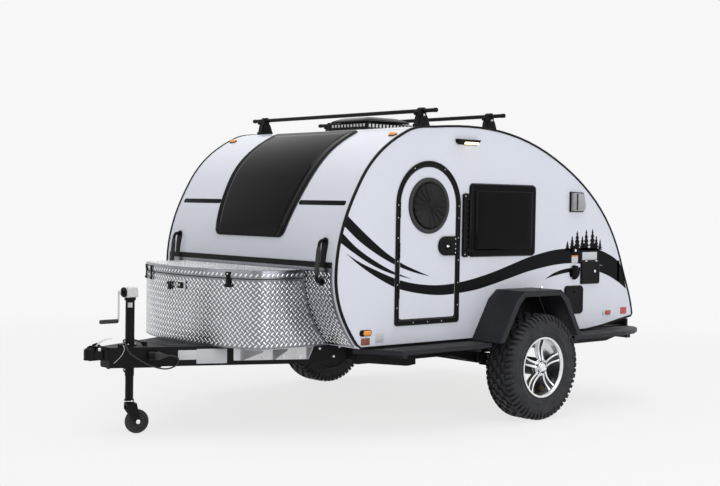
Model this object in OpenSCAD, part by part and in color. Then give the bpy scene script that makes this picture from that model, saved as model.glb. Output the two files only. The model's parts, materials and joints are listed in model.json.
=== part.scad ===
// Teardrop camping trailer with an off-road running gear: a two-berth cabin, a galley under
// the rear hatch, an aluminium storage box on the A-frame tongue, and a swivel-wheel jack.
// +X points towards the hitch, +Y to the left-hand side and +Z up. The ground is z = 0,
// and x = 0 and y = 0 are the middle of the trailer's length and width.

/* [Body] */
// Width over the side walls
body_w = 1908; // [1880:1:1930]
// Thickness of a side wall and of a door
wall_t = 38; // [30:1:44]
// Thickness of the front, the roof and the galley hatch
skin_t = 30; // [24:1:36]
// Height of the body's underside
floor_z = 557; // [552:1:562]
// Thickness of the floor
floor_t = 40; // [30:1:50]

/* [Running gear] */
// Radius of a tyre
tyre_r = 366; // [360:1:370]
// Width of a tyre
tyre_w = 235; // [225:1:240]
// Distance of a tyre's outer face from the middle of the trailer
tyre_out = 1247; // [1240:1:1250]
// Radius of a rim at its lip
rim_r = 208; // [200:1:212]
// Distance of the fenders' outer face from the middle of the trailer
fender_out = 1220; // [1210:1:1240]

/* [Doors] */
// Width of a door's frame
door_w = 585; // [575:1:590]
// Height of the door frame's foot
door_z = 684; // [680:1:700]
// Distance of the middle of a door ahead of the axle
door_x = 853; // [845:1:858]
// Width of the frame's ring
ring_w = 32; // [26:1:34]
// Radius of a door's round window over its ring
port_r = 184; // [170:1:190]

/* [Tongue] */
// Distance of the tongue's nose ahead of the axle
nose_x = 2690; // [2680:1:2700]
// Height of the frame's underside
frame_z = 435; // [430:1:440]
// Distance of the jack ahead of the axle
jack_x = 2515; // [2505:1:2525]
// Radius of the jack's outer tube
jack_r = 28.5; // [28:0.1:29]

/* [Storage box] */
// Half of the box's width
box_half = 660; // [640:1:670]
// Height of the top of the lid
lid_z = 1044; // [1040:1:1046]
// Thickness of the chequer plate
plate_t = 4; // [3:0.5:5]

/* [Hidden] */

rear_x = -1484;
coupler_tip_x = 2831;
axle_x = -(coupler_tip_x + rear_x) / 2;
body_y = body_w / 2;
inner_y = body_y - wall_t;
gap = 6;
body_white = [0.86, 0.87, 0.9];
trim_black = [0.08, 0.08, 0.09];
frame_black = [0.1, 0.1, 0.11];
gloss_black = [0.03, 0.03, 0.04];
plate_grey = [0.7, 0.71, 0.72];
alloy = [0.8, 0.81, 0.83];

// ---- The body's side outline ------------------------------------------------------------

// Knots of the outline, from the front bottom corner over the roof to the rear bottom
// corner: distance ahead of the axle, height, and heading of the curve in degrees
body_knots = [[1443, 557, 50], [1640, 1020, 91], [1450, 1610, 121], [1060, 1940, 155],
              [775, 1985, 175], [-460, 1790, 206], [-1215, 1045, 249], [-1365, 635, 262]];
handle_share = 0.36;
curve_steps = 9;
last_knot = len(body_knots) - 1;
// The outline's underside, from the rear bottom corner forwards
sill_points = [[-1365, 635], [-1197, 612], [-995, 578], [-800, floor_z]];

function spot(knot) = [knot[0], knot[1]];
function heading(knot) = [cos(knot[2]), sin(knot[2])];
function unit(v) = v / norm(v);
function reverse(list) = [for (i = [len(list) - 1:-1:0]) list[i]];

function span_handles(a, b) =
    let (reach = handle_share * norm(spot(b) - spot(a)))
    [spot(a), spot(a) + reach * heading(a), spot(b) - reach * heading(b), spot(b)];
function span_point(h, t) =
    pow(1 - t, 3) * h[0] + 3 * pow(1 - t, 2) * t * h[1]
    + 3 * (1 - t) * t * t * h[2] + pow(t, 3) * h[3];
function span_slope(h, t) =
    pow(1 - t, 2) * (h[1] - h[0]) + 2 * (1 - t) * t * (h[2] - h[1]) + t * t * (h[3] - h[2]);

// The outline at s, counted in knots from the front bottom corner, moved out by d
function edge_point(s, d) =
    let (i = min(floor(s), last_knot - 1),
         h = span_handles(body_knots[i], body_knots[i + 1]),
         way = unit(span_slope(h, s - i)))
    span_point(h, s - i) + d * [way[1], -way[0]];
function edge_path(s0, s1, d) =
    let (n = ceil((s1 - s0) * curve_steps))
    [for (k = [0:n]) edge_point(s0 + (s1 - s0) * k / n, d)];
function body_outline(d) = concat(edge_path(0, last_knot, d),
    [for (p = sill_points) p + [p[0] == -1365 ? -d : 0, -d]], [[1443, floor_z - d]]);

// How far a piece that lies on the skin stands off it
skin_stand = 1;

// Places along the outline
s_guard_top = 1.07;
s_window_low = 1.35;
s_window_high = 3.12;
s_front_end = 3.3;
s_hatch = 4.75;

// ---- Helpers ----------------------------------------------------------------------------

module at_axle() translate([axle_x, 0, 0]) children();

// Stands a drawing in x and z up across the trailer, from y0 to y1
module across(y0, y1) translate([0, y1, 0]) rotate([90, 0, 0]) linear_extrude(y1 - y0) children();

// The same thing on both sides, drawn for the left-hand side
module both_sides() {
    children();
    mirror([0, 1, 0]) children();
}

module on_side(side) mirror([0, side < 0 ? 1 : 0, 0]) children();

// A length of the body's skin between two depths, from y0 to y1
module skin(s0, s1, d0, d1, y0, y1)
    across(y0, y1) polygon(concat(edge_path(s0, s1, d1), reverse(edge_path(s0, s1, d0))));

module rod_x(r, x0, x1) translate([x0, 0, 0]) rotate([0, 90, 0]) cylinder(r = r, h = x1 - x0);
module rod_y(r, y0, y1) translate([0, y0, 0]) rotate([-90, 0, 0]) cylinder(r = r, h = y1 - y0);

module round_rect(w, h, r) {
    square([w - 2 * r, h], center = true);
    square([w, h - 2 * r], center = true);
    for (sx = [-1, 1], sz = [-1, 1])
        translate([sx * (w / 2 - r), sz * (h / 2 - r)]) circle(r = r, $fn = 32);
}

// ---- Frame and tongue -------------------------------------------------------------------

frame_h = 115;
frame_top = frame_z + frame_h;
rail_y = 800;
rail_w = 50;
rail_front_x = 1320;
rail_rear_x = rear_x + 28;
crossbar_x = [-1040, -570, 560, 1270];
crossbar_drop = 25;
stab_pivot = [-560, 426];
stab_y = 700;
stab_half = 19;
stab_pin_r = 9;
pin_fit = 0.05;

// Ears and pin under a crossbar that a stabiliser swings on
module stabiliser_ears() {
    for (y = [stab_y - stab_half - 8, stab_y + stab_half + 3])
        across(y, y + 5)
            polygon([[-590, frame_z + crossbar_drop + 1], [-530, frame_z + crossbar_drop + 1],
                     [-540, stab_pivot[1] - 14], [-580, stab_pivot[1] - 14]]);
    translate([stab_pivot[0], 0, stab_pivot[1]])
        rod_y(stab_pin_r - pin_fit, stab_y - stab_half - 4, stab_y + stab_half + 4);
}

module main_frame() at_axle() color(frame_black) {
    both_sides() {
        across(rail_y - rail_w, rail_y)
            polygon([[rail_rear_x, frame_top], [rail_rear_x, frame_z + 45],
                     [rail_rear_x + 210, frame_z], [rail_front_x, frame_z],
                     [rail_front_x, frame_top], [rail_front_x, floor_z], [rail_rear_x + 260, floor_z],
                     [rail_rear_x + 260, frame_top]]);
        // Gussets under the rail, ahead of the axle and at the front of the cabin
        across(rail_y - 12, rail_y)
            polygon([[480, frame_z + 1], [205, frame_z + 1], [205, frame_z - 62], [230, frame_z - 62]]);
        across(rail_y - 12, rail_y)
            polygon([[1230, frame_z + 1], [880, frame_z - 42], [800, frame_z - 36], [800, frame_z + 1]]);
        stabiliser_ears();
    }
    for (x = crossbar_x)
        translate([x, -rail_y + rail_w - 1, frame_z + crossbar_drop])
            cube([50, 2 * (rail_y - rail_w) + 2, floor_z - frame_z - crossbar_drop]);
}

tongue_y0 = 640;
tongue_y1 = 55;
tongue_t = 50;
plate_top = frame_top + 6;
nose_block = 60;

function tongue_edge(x) =
    tongue_y1 + (nose_x - x) * (tongue_y0 + tongue_t - tongue_y1) / (nose_x - rail_front_x);

module tongue_rail() translate([0, 0, frame_z]) linear_extrude(frame_h)
    polygon([[rail_front_x, tongue_y0], [rail_front_x, tongue_y0 + tongue_t],
             [nose_x, tongue_y1], [nose_x, 0], [nose_x - nose_block, 0],
             [nose_x - nose_block, tongue_edge(nose_x - nose_block) - tongue_t]]);

module tongue_plate(x0, x1, z) translate([0, 0, z]) linear_extrude(plate_top - frame_top)
    polygon([[x1, -tongue_edge(x1) + 4], [x1, tongue_edge(x1) - 4],
             [x0, tongue_edge(x0) - 4], [x0, -tongue_edge(x0) + 4]]);

module tongue_frame() at_axle() color(frame_black) {
    both_sides() tongue_rail();
    // Plates over and under the nose, and the deck that carries the storage box
    difference() {
        union() {
            tongue_plate(2330, nose_x - 1, frame_top);
            tongue_plate(2400, nose_x - 1, frame_z - 6);
        }
        translate([jack_x, 0, frame_z - 20]) cylinder(r = jack_r, h = frame_h + 40);
    }
    tongue_plate(1660, 2325, frame_top);
}

// ---- Coupler ----------------------------------------------------------------------------

ball_r = 25.7;
ball_x = 2795;
coupler_z = 483;

module coupler() at_axle() color(frame_black) difference() {
    union() {
        // Housing over the ball
        translate([ball_x, 0, coupler_z]) cylinder(r = coupler_tip_x - ball_x, h = 62);
        // Neck that runs back between the rails' nose plates
        translate([nose_x, -32, coupler_z]) cube([ball_x - nose_x, 64, 56]);
        translate([nose_x, -50, coupler_z - 4]) cube([30, 100, 64]);
    }
    translate([ball_x, 0, coupler_z - 1]) cylinder(r = ball_r, h = 41);
}

module coupler_latch() at_axle() color(alloy) {
    across(-9, 9) polygon([[2760, 545], [2795, 546], [2768, 590], [2700, 610], [2640, 606],
                           [2640, 600], [2698, 598], [2745, 578]]);
}

// ---- Jack -------------------------------------------------------------------------------

jack_foot_z = 365;
jack_top_z = 857;
crank_drop = 178;
leg_r = 25.4;
leg_fit = 0.05;
leg_low_z = 200;
swivel_r = 19;

module jack_tube() at_axle() color(frame_black) translate([jack_x, 0, 0]) {
    difference() {
        union() {
            translate([0, 0, jack_foot_z]) cylinder(r = jack_r, h = jack_top_z - jack_foot_z);
            translate([0, 0, plate_top]) cylinder(r = 42, h = 8);
        }
        translate([0, 0, jack_foot_z - 1]) cylinder(r = leg_r, h = jack_top_z - jack_foot_z - 11);
    }
}

module jack_head() at_axle() color([0.85, 0.85, 0.84]) translate([jack_x, 0, 0]) {
    translate([-42, -36, jack_top_z]) cube([84, 72, 66]);
    // Crank, its arm hanging down
    translate([0, 0, jack_top_z + 33]) {
        rod_x(30, 41, 56);
        rod_x(9, 55, 86);
        translate([78, -8, -crank_drop]) cube([8, 16, crank_drop + 9]);
        translate([0, 0, -crank_drop]) rod_x(13.5, 85, 212);
    }
}

module jack_leg() at_axle() color(frame_black) translate([jack_x, 0, 0]) difference() {
    union() {
        translate([0, 0, leg_low_z]) cylinder(r = leg_r - leg_fit, h = 480);
        translate([0, 0, leg_low_z]) cylinder(r = 30, h = 18);
    }
    translate([0, 0, leg_low_z - 1]) cylinder(r = swivel_r, h = 62);
}

castor_r = 76;
castor_w = 44;
castor_trail = 50;
castor_turn = 165;
fork_in = 27.5;
fork_t = 5;
castor_pin_r = 8;

module at_castor() at_axle() translate([jack_x, 0, 0]) rotate([0, 0, castor_turn]) children();

module castor_fork() at_castor() color(frame_black) {
    translate([0, 0, leg_low_z - 14]) cylinder(r = swivel_r - 0.05, h = 70);
    translate([-24, -fork_in - fork_t, leg_low_z - 20]) cube([66, 2 * (fork_in + fork_t), 14]);
    for (side = [-1, 1])
        across(side > 0 ? fork_in : -fork_in - fork_t, side > 0 ? fork_in + fork_t : -fork_in)
            polygon([[-24, leg_low_z - 12], [42, leg_low_z - 12],
                     [castor_trail + 20, castor_r], [castor_trail + 14, castor_r - 14],
                     [castor_trail, castor_r - 20], [castor_trail - 14, castor_r - 14],
                     [castor_trail - 20, castor_r], [-24, leg_low_z - 45]]);
    // Pin the wheel turns on
    translate([castor_trail, 0, castor_r]) rod_y(castor_pin_r - 0.05, -fork_in - 1, fork_in + 1);
}

module castor_wheel() at_castor() color(trim_black)
    translate([castor_trail, 0, castor_r]) rotate([90, 0, 0]) difference() {
        rotate_extrude() polygon([[0, -22], [castor_r - 10, -castor_w / 2], [castor_r - 2, -14],
                                  [castor_r, -6], [castor_r, 6], [castor_r - 2, 14],
                                  [castor_r - 10, castor_w / 2], [0, 22]]);
        translate([0, 0, -30]) cylinder(r = castor_pin_r, h = 60);
    }

// ---- Axle and wheels --------------------------------------------------------------------

beam_x = 160;
beam_z = 400;
spindle_r = 17.5;
spindle_fit = 0.05;
hub_in = 905;

module axle() at_axle() color(frame_black) {
    // Beam that holds the rubber cords
    translate([beam_x - 35, -rail_y - 20, beam_z - 35]) cube([70, 2 * (rail_y + 20), 70]);
    both_sides() {
        // Trailing arm
        across(rail_y + 20, rail_y + 45)
            polygon([[beam_x + 45, beam_z - 42], [beam_x + 45, beam_z + 32], [beam_x - 45, beam_z + 34],
                     [-38, tyre_r + 32], [-38, tyre_r - 32], [30, tyre_r - 38]]);
        // Spindle and backing plate
        translate([0, 0, tyre_r]) {
            rod_y(spindle_r, rail_y + 40, 1100);
            rod_y(120, hub_in - 20, hub_in - 12);
            rod_y(30, rail_y + 40, hub_in - 15);
        }
    }
}

tyre_in = tyre_out - tyre_w;
tyre_mid = tyre_out - tyre_w / 2;
bead_r = 193;

// A tyre lying on its side, its middle at z = 0
module tyre_body() rotate_extrude($fn = 96) polygon([
    [bead_r, -88], [rim_r + 4, -100], [rim_r + 40, -113], [rim_r + 80, -tyre_w / 2],
    [tyre_r - 44, -113], [tyre_r - 18, -104], [tyre_r - 4, -86], [tyre_r, -60],
    [tyre_r, 60], [tyre_r - 4, 86], [tyre_r - 18, 104], [tyre_r - 44, 113],
    [rim_r + 80, tyre_w / 2], [rim_r + 40, 113], [rim_r + 4, 100], [bead_r, 88]]);

module at_wheel(side)
    at_axle() on_side(side) translate([0, tyre_mid, tyre_r]) rotate([-90, 0, 0]) children();

module tyre(side) at_wheel(side) color(trim_black) tyre_body();

// Rim, spokes and hub as one casting, with the brake drum behind it
module wheel(side) at_wheel(side) color(alloy) difference() {
    union() {
        rotate_extrude($fn = 96) polygon([
            [bead_r - 0.4, -88], [bead_r - 0.4, -104], [rim_r, -106], [rim_r, -101], [bead_r + 6, -97]]);
        rotate_extrude($fn = 96) polygon([
            [bead_r - 10, -104], [bead_r - 0.4, -104], [bead_r - 0.4, 104], [bead_r - 10, 104]]);
        rotate_extrude($fn = 96) polygon([
            [bead_r - 10, 88], [bead_r - 10, 104], [rim_r, 106], [rim_r, 101], [bead_r - 0.4, 97],
            [bead_r - 0.4, 88]]);
        for (k = [0:4]) rotate([0, 0, 72 * k + 18]) {
            for (lean = [-1, 1])
                translate([0, 0, 58]) linear_extrude(22)
                    polygon([[40, lean * 4], [40, lean * 26],
                             [bead_r - 5, lean * 34], [bead_r - 5, lean * 18]]);
        }
        translate([0, 0, 40]) cylinder(r = 72, h = 44);
        translate([0, 0, 84]) cylinder(r = 32, h = 22);
        // Brake drum
        translate([0, 0, hub_in - tyre_mid]) cylinder(r = 128, h = 70);
        translate([0, 0, hub_in - tyre_mid]) cylinder(r = 60, h = 270);
    }
    translate([0, 0, hub_in - tyre_mid - 1]) cylinder(r = spindle_r + spindle_fit, h = 1106 - hub_in);
}

// ---- Body shell -------------------------------------------------------------------------

// Outline of a door drawn in by d, its round top about the window's centre
arch_z = 1461;
door_corner_r = 60;
module door_outline(d) {
    half = door_w / 2 - d;
    low = door_z + d;
    r = door_corner_r - d;
    translate([door_x, arch_z]) circle(r = half, $fn = 128);
    translate([door_x - half + r, low]) square([2 * (half - r), arch_z - low]);
    translate([door_x - half, low + r]) square([2 * half, arch_z - low - r]);
    for (sx = [-1, 1]) translate([door_x + sx * (half - r), low + r]) circle(r = r, $fn = 64);
}

window_x = 138;
window_z = 1367;
window_w = 670;
window_h = 492;
window_lap = 30;
utility_at = [-831, 986];
utility_size = [212, 168];
shower_at = [-646, 786];
shower_size = [205, 202];
hatch_lap = 12;

module side_openings() {
    door_outline(ring_w - gap);
    translate([window_x, window_z])
        round_rect(window_w - 2 * window_lap, window_h - 2 * window_lap, 30);
    translate(utility_at) round_rect(utility_size[0] - 2 * hatch_lap, utility_size[1] - 2 * hatch_lap, 10);
    translate(shower_at) round_rect(shower_size[0] - 2 * hatch_lap, shower_size[1] - 2 * hatch_lap, 20);
}

module side_wall(side) at_axle() on_side(side) color(body_white)
    across(inner_y, body_y) difference() {
        polygon(body_outline(0));
        side_openings();
    }

module floor_deck() at_axle() color([0.35, 0.33, 0.3]) across(-inner_y, inner_y)
    polygon([[-1362, 635], [-1197, 612], [-995, 578], [-800, floor_z], [1412, floor_z],
             [1427, floor_z + floor_t], [-790, floor_z + floor_t], [-985, 578 + floor_t],
             [-1187, 612 + floor_t], [-1316, 632 + floor_t], [-1318, 649], [-1360, 649]]);

glass_half_low = 345;
frame_half = 425;
module front_shell() at_axle() color(body_white) difference() {
    skin(0, s_front_end, -skin_t, 0, -inner_y, inner_y);
    skin(s_window_low + 0.08, s_window_high - 0.08, -skin_t - 5, 5, -glass_half_low, glass_half_low);
}

vent_x = 530;
vent_half = 178;
module roof_shell() at_axle() color(body_white) difference() {
    skin(s_front_end, s_hatch - 0.004, -skin_t, 0, -inner_y, inner_y);
    translate([vent_x - vent_half, -vent_half, 1900]) cube([2 * vent_half, 2 * vent_half, 200]);
}

bulkhead_t = 18;
counter_z = 985;
bulkhead_x = -152;
foot_x = -640;
module galley_bulkhead() at_axle() color([0.8, 0.76, 0.7]) across(-inner_y, inner_y)
    polygon([[foot_x, floor_z + floor_t], [foot_x + bulkhead_t, floor_z + floor_t],
             [foot_x + bulkhead_t, counter_z - bulkhead_t],
             [bulkhead_x + bulkhead_t, counter_z - bulkhead_t],
             [bulkhead_x + bulkhead_t, 1882], [bulkhead_x, 1872], [bulkhead_x, counter_z],
             [foot_x, counter_z]]);

module galley_counter() at_axle() color([0.75, 0.62, 0.45]) {
    // Worktop, cabinet front and ends, and the shelf on the bulkhead
    translate([-1080, -inner_y, counter_z]) cube([1080 + bulkhead_x, 2 * inner_y, 26]);
    translate([-1060, -inner_y, 631]) cube([18, 2 * inner_y, counter_z - 631]);
    translate([-420, -inner_y, 1480]) cube([420 + bulkhead_x, 2 * inner_y, 20]);
}

hatch_gap = 6;
hatch_half = inner_y - hatch_gap;
s_hatch_end = 6.95;
module galley_hatch() at_axle() color(body_white)
    skin(s_hatch + 0.004, s_hatch_end, -skin_t, 0, -hatch_half, hatch_half);

trim_in = 26;
trim_proud = 5;
module edge_trims() at_axle() color(trim_black) both_sides() {
    across(body_y, body_y + trim_proud) difference() {
        polygon(body_outline(trim_proud));
        polygon(concat(edge_path(0.12, last_knot - 0.12, -trim_in),
                       [[-1325, 655], [-1197, 630], [-995, 596], [-800, floor_z + 18]],
                       [[1446, floor_z + 18]]));
        // Left open behind the fender
        translate([-440, floor_z - 10]) square([880, 40]);
    }
    skin(0, last_knot, 0, trim_proud, inner_y + 4, body_y);
    // Strip along the top of the rock guard
    skin(s_guard_top, s_guard_top + 0.05, skin_stand, 7, 0, inner_y + 2);
}

// ---- Doors ------------------------------------------------------------------------------

ring_proud = 10;
leaf_gap = 9;

module door_frames() at_axle() color(trim_black) both_sides()
    across(body_y, body_y + ring_proud) difference() {
        door_outline(0);
        door_outline(ring_w);
    }

leaf_in = ring_w + leaf_gap;
latch_x = 699;
latch_z = 1196;
latch_r = 61;

module door(side) at_axle() on_side(side) {
    color(body_white) across(inner_y, body_y) difference() {
        door_outline(leaf_in);
        translate([door_x, arch_z]) circle(r = port_r - 26, $fn = 96);
    }
    // Latch plate, round at its front
    color(trim_black) across(body_y, body_y + 16) {
        translate([latch_x, latch_z]) circle(r = latch_r, $fn = 64);
        translate([latch_x - 96, latch_z - latch_r]) square([96, 2 * latch_r]);
    }
}

module door_port(side) at_axle() on_side(side) color(gloss_black)
    translate([door_x, 0, arch_z]) difference() {
        rod_y(port_r, body_y + 0.3, body_y + 14);
        rod_y(port_r - 22, body_y + 9, body_y + 15);
    }

// ---- Windows ----------------------------------------------------------------------------

module front_window_frame() at_axle() color(trim_black) difference() {
    skin(s_window_low, s_window_high, skin_stand, 14, -frame_half, frame_half);
    skin(s_window_low + 0.05, s_window_high - 0.05, -1, 16, -frame_half + 45, frame_half - 45);
}

module front_window() at_axle() color(gloss_black)
    skin(s_window_low + 0.055, s_window_high - 0.055, skin_stand, 9, -frame_half + 47, frame_half - 47);

module side_windows() at_axle() color(gloss_black) both_sides()
    translate([window_x, 0, window_z]) {
        across(body_y, body_y + 14) round_rect(window_w, window_h, 28);
        across(body_y + 13, body_y + 26) round_rect(window_w - 34, window_h - 34, 34);
    }

module side_rails() at_axle() color(trim_black) both_sides()
    translate([507, 0, 1333]) across(body_y, body_y + 22) difference() {
        round_rect(66, 415, 6);
        for (k = [-4:4]) translate([0, k * 42]) round_rect(16, 26, 7);
    }

// ---- Hatches and ports in the left-hand wall ---------------------------------------------

leaf_stand = 5;
module hatch_leaf(at, size, r) translate([at[0], 0, at[1]])
    across(body_y + leaf_stand, body_y + leaf_stand + 10) round_rect(size[0], size[1], r);

module utility_hatch() at_axle() color(trim_black) hatch_leaf(utility_at, utility_size, 10);
module shower_hatch() at_axle() color(trim_black) hatch_leaf(shower_at, shower_size, 24);

module service_ports() at_axle() color(trim_black) {
    translate([-650, 0, 988]) rod_y(53, body_y, body_y + 26);
    translate([-652, 0, 1149]) across(body_y, body_y + 12) round_rect(76, 64, 30);
    // Wedge-shaped lamps at the rear of each side
    both_sides() translate([-668, 0, 1505]) across(body_y, body_y + 45)
        polygon([[88, -74], [88, 74], [-60, 70], [-88, -50], [-60, -74]]);
}

// ---- Roof -------------------------------------------------------------------------------

bar_x = [839, 187];
bar_z = 2085;
bar_r = 15;
bar_half = 996;
foot_in = 825;
foot_out = 885;
bar_waist = 12;
module roof_bars() at_axle() color(trim_black) for (x = bar_x) translate([x, 0, bar_z]) {
    rod_y(bar_r, -foot_in, foot_in);
    // Drawn in a little where the feet grip it
    rod_y(bar_waist, -foot_out - 1, foot_out + 1);
    for (side = [-1, 1]) on_side(side) rod_y(bar_r, foot_out, bar_half);
}

module rack_feet() at_axle() color(trim_black) both_sides() for (x = bar_x)
    difference() {
        across(foot_in, foot_out) difference() {
            translate([x, 0]) polygon([[-55, 1950], [60, 1950], [60, 2000], [45, bar_z - 30],
                                       [24, bar_z + 22], [-24, bar_z + 22], [-40, bar_z - 34],
                                       [-55, 2000]]);
            polygon(body_outline(skin_stand));
        }
        translate([x, 0, bar_z]) rod_y(bar_waist, 800, 900);
    }

vent_top = 2038;
vent_rim = vent_half + 40;
module vent_base() at_axle() color([0.8, 0.8, 0.8]) difference() {
    translate([vent_x - vent_rim, -vent_rim, 1970]) cube([2 * vent_rim, 2 * vent_rim, vent_top - 1970]);
    translate([vent_x - vent_half, -vent_half, 1960]) cube([2 * vent_half, 2 * vent_half, 100]);
    across(-vent_rim - 10, vent_rim + 10) polygon(body_outline(skin_stand));
}

lid_foot = vent_top + 5;
module vent_lid() at_axle() color(gloss_black) translate([vent_x, 0, 0])
    across(-vent_half - 30, vent_half + 30)
        polygon([[vent_half + 44, lid_foot], [vent_half + 44, lid_foot + 16],
                 [vent_half - 30, lid_foot + 44], [-vent_half + 60, lid_foot + 44],
                 [-vent_half - 44, lid_foot + 14], [-vent_half - 44, lid_foot]]);

// ---- Storage box ------------------------------------------------------------------------

box_z = plate_top;
box_front_x = 2150;
box_bow = 150;
box_corner = 110;
bow_r = (pow(box_half, 2) + pow(box_bow, 2)) / (2 * box_bow);
corner_y = box_half - box_corner;
corner_x = box_front_x - bow_r + sqrt(pow(bow_r - box_corner, 2) - pow(corner_y, 2));
lid_h = 52;
lid_gap = 1;

// The box in plan from x = rear forwards, drawn in by d: a bowed front and rounded corners
module box_plan(d, rear) {
    tangent_y = (bow_r - d) * corner_y / (bow_r - box_corner);
    intersection() {
        translate([box_front_x - bow_r, 0]) circle(r = bow_r - d, $fn = 240);
        translate([rear, -tangent_y]) square([box_front_x - rear, 2 * tangent_y]);
    }
    translate([rear, d - box_half]) square([corner_x - rear, 2 * (box_half - d)]);
    for (sy = [-1, 1]) translate([corner_x, sy * corner_y]) circle(r = box_corner - d, $fn = 96);
}

// Everything behind the body's front, moved out by d
module behind_front(d) across(-body_y, body_y)
    polygon(concat(edge_path(0, 1.2, d), [[1300, 1300], [1300, 300], [1443, 300]]));

box_body_gap = 9;
// Walls of the box, which stand on its floor plate
module storage_box() at_axle() color(plate_grey) difference() {
    translate([0, 0, box_z + plate_t]) linear_extrude(lid_z - lid_h - box_z - plate_t) box_plan(0, 1380);
    behind_front(box_body_gap);
    difference() {
        translate([0, 0, box_z]) linear_extrude(lid_z) box_plan(plate_t, 1380);
        behind_front(box_body_gap + plate_t);
    }
}

module storage_box_floor() at_axle() color(plate_grey) difference() {
    translate([0, 0, box_z]) linear_extrude(plate_t) box_plan(0, 1380);
    behind_front(box_body_gap);
}

lid_rear_x = 1656;
module storage_box_lid() at_axle() color(plate_grey)
    translate([0, 0, lid_z - lid_h + lid_gap]) difference() {
        linear_extrude(lid_h - lid_gap) box_plan(-6, lid_rear_x);
        translate([0, 0, -1]) linear_extrude(lid_h - plate_t) box_plan(-2, lid_rear_x + plate_t);
    }

// Rubber latches that hang from the lid over the front of the box
latch_y = [-430, 60, 430];
module lid_latches() at_axle() color(trim_black) for (y = latch_y)
    translate([box_front_x - bow_r, 0, 0]) rotate([0, 0, asin(y / bow_r)])
        translate([bow_r + 6.3, -18, lid_z - 108]) cube([12, 36, 96]);

// Aluminium brackets outside the tongue rails that carry the ends of the box
bracket_x = [1560, 1760, 1950];
bracket_y = 640;
module box_brackets() at_axle() color(alloy) both_sides() {
    translate([0, 0, frame_top]) linear_extrude(plate_top - frame_top - 0.5)
        polygon([[1545, tongue_edge(1545) + 1], [1545, bracket_y], [1960, bracket_y], [2030, 560],
                 [2030, tongue_edge(2030) + 1]]);
    for (x = bracket_x) translate([x - 2.5, tongue_edge(x) + 2, frame_top + 1]) rotate([90, 0, 90])
        linear_extrude(5) polygon([[0, 0], [bracket_y - tongue_edge(x), 0],
                                   [bracket_y - tongue_edge(x), -12], [18, -86], [0, -86]]);
}

module rock_guard() at_axle() color(plate_grey)
    skin(0.02, s_guard_top - 0.003, skin_stand, plate_t + 1, -inner_y - 2, inner_y + 2);

module grab_handles() at_axle() color(trim_black) both_sides() {
    difference() {
        skin(0.86, 1.38, plate_t + 1.5, 66, 805, 835);
        skin(0.93, 1.31, 1, 44, 800, 840);
    }
    skin(1.31, 1.38, skin_stand, 7, 805, 835);
}

// ---- Fenders and running boards -----------------------------------------------------------

fender_t = 5;
fender_lip = 38;
fender_foot_z = floor_z - 2;
// Outline of a fender's flat panels, drawn in by d
function fender_outline(d) = let (f = d * 0.62) [
    [427 - 1.16 * d, fender_foot_z], [268 - f - 0.25 * d, 828 - 0.6 * d], [188 - f * 0.35, 892 - d],
    [-188 + f * 0.35, 892 - d], [-268 + f + 0.25 * d, 828 - 0.6 * d], [-427 + 1.16 * d, fender_foot_z]];
module fenders() at_axle() color(trim_black) both_sides() {
    across(body_y + 0.3, fender_out) difference() {
        polygon(fender_outline(0));
        translate([0, -1]) polygon(fender_outline(fender_t));
    }
    across(fender_out - fender_t, fender_out) difference() {
        polygon(fender_outline(0));
        translate([0, -1]) polygon(fender_outline(fender_lip));
    }
}

board_top = 551;
board_t = 30;
board_in = 880;
board_out = 1150;
outrigger_x = [-1130, -500, 500, 1180];
module running_boards() at_axle() color(trim_black) both_sides() {
    translate([0, 0, board_top - board_t]) linear_extrude(board_t)
        polygon([[432, board_in], [1430, board_in], [1250, board_out], [432, board_out]]);
    translate([0, 0, board_top - board_t]) linear_extrude(board_t)
        polygon([[-432, board_in], [-432, board_out], [-1000, board_out], [-1180, 1112],
                 [-1330, 1030], [-1400, 950], [-1412, board_in]]);
    // Outriggers from the frame's rails
    for (x = outrigger_x)
        translate([x - 20, rail_y, board_top - board_t - 28]) cube([40, board_out - rail_y - 50, 28.5]);
}

// ---- Rear -------------------------------------------------------------------------------

lamp_y = 700;
hitch_bolts = 80;
module rear_bumper() at_axle() color(frame_black) difference() {
    translate([rear_x + 4, -rail_y - 30, 478]) cube([24, 2 * rail_y + 60, 122]);
    for (y = [-hitch_bolts, hitch_bolts]) translate([rear_x, y, 540]) rod_x(6.5, -5, 40);
    for (y = [-lamp_y, lamp_y]) translate([rear_x, y - 76, 511]) cube([14, 152, 56]);
}

module tail_lights() at_axle() color([0.6, 0.03, 0.04]) for (y = [-lamp_y, lamp_y])
    translate([rear_x, y - 75.5, 511.5]) cube([13.5, 151, 55]);

module marker_lights() at_axle() both_sides() {
    color([0.95, 0.5, 0.1]) {
        translate([1390, 0, 654]) across(body_y, body_y + 14) round_rect(92, 40, 18);
        translate([1391, 0, 600]) across(body_y, body_y + 6) round_rect(70, 44, 6);
        skin(2.85, 2.91, skin_stand, 22, 848, 910);
    }
    color([0.7, 0.05, 0.05]) {
        translate([-1044, 0, 676]) across(body_y, body_y + 14) round_rect(92, 40, 18);
        translate([-1250, 0, 682]) across(body_y, body_y + 6) round_rect(70, 50, 6);
    }
}

module porch_lights() at_axle() color(trim_black) both_sides()
    translate([510, 0, 1890]) across(body_y, body_y + 40) round_rect(220, 36, 12);

// ---- Stabilisers ------------------------------------------------------------------------

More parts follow.
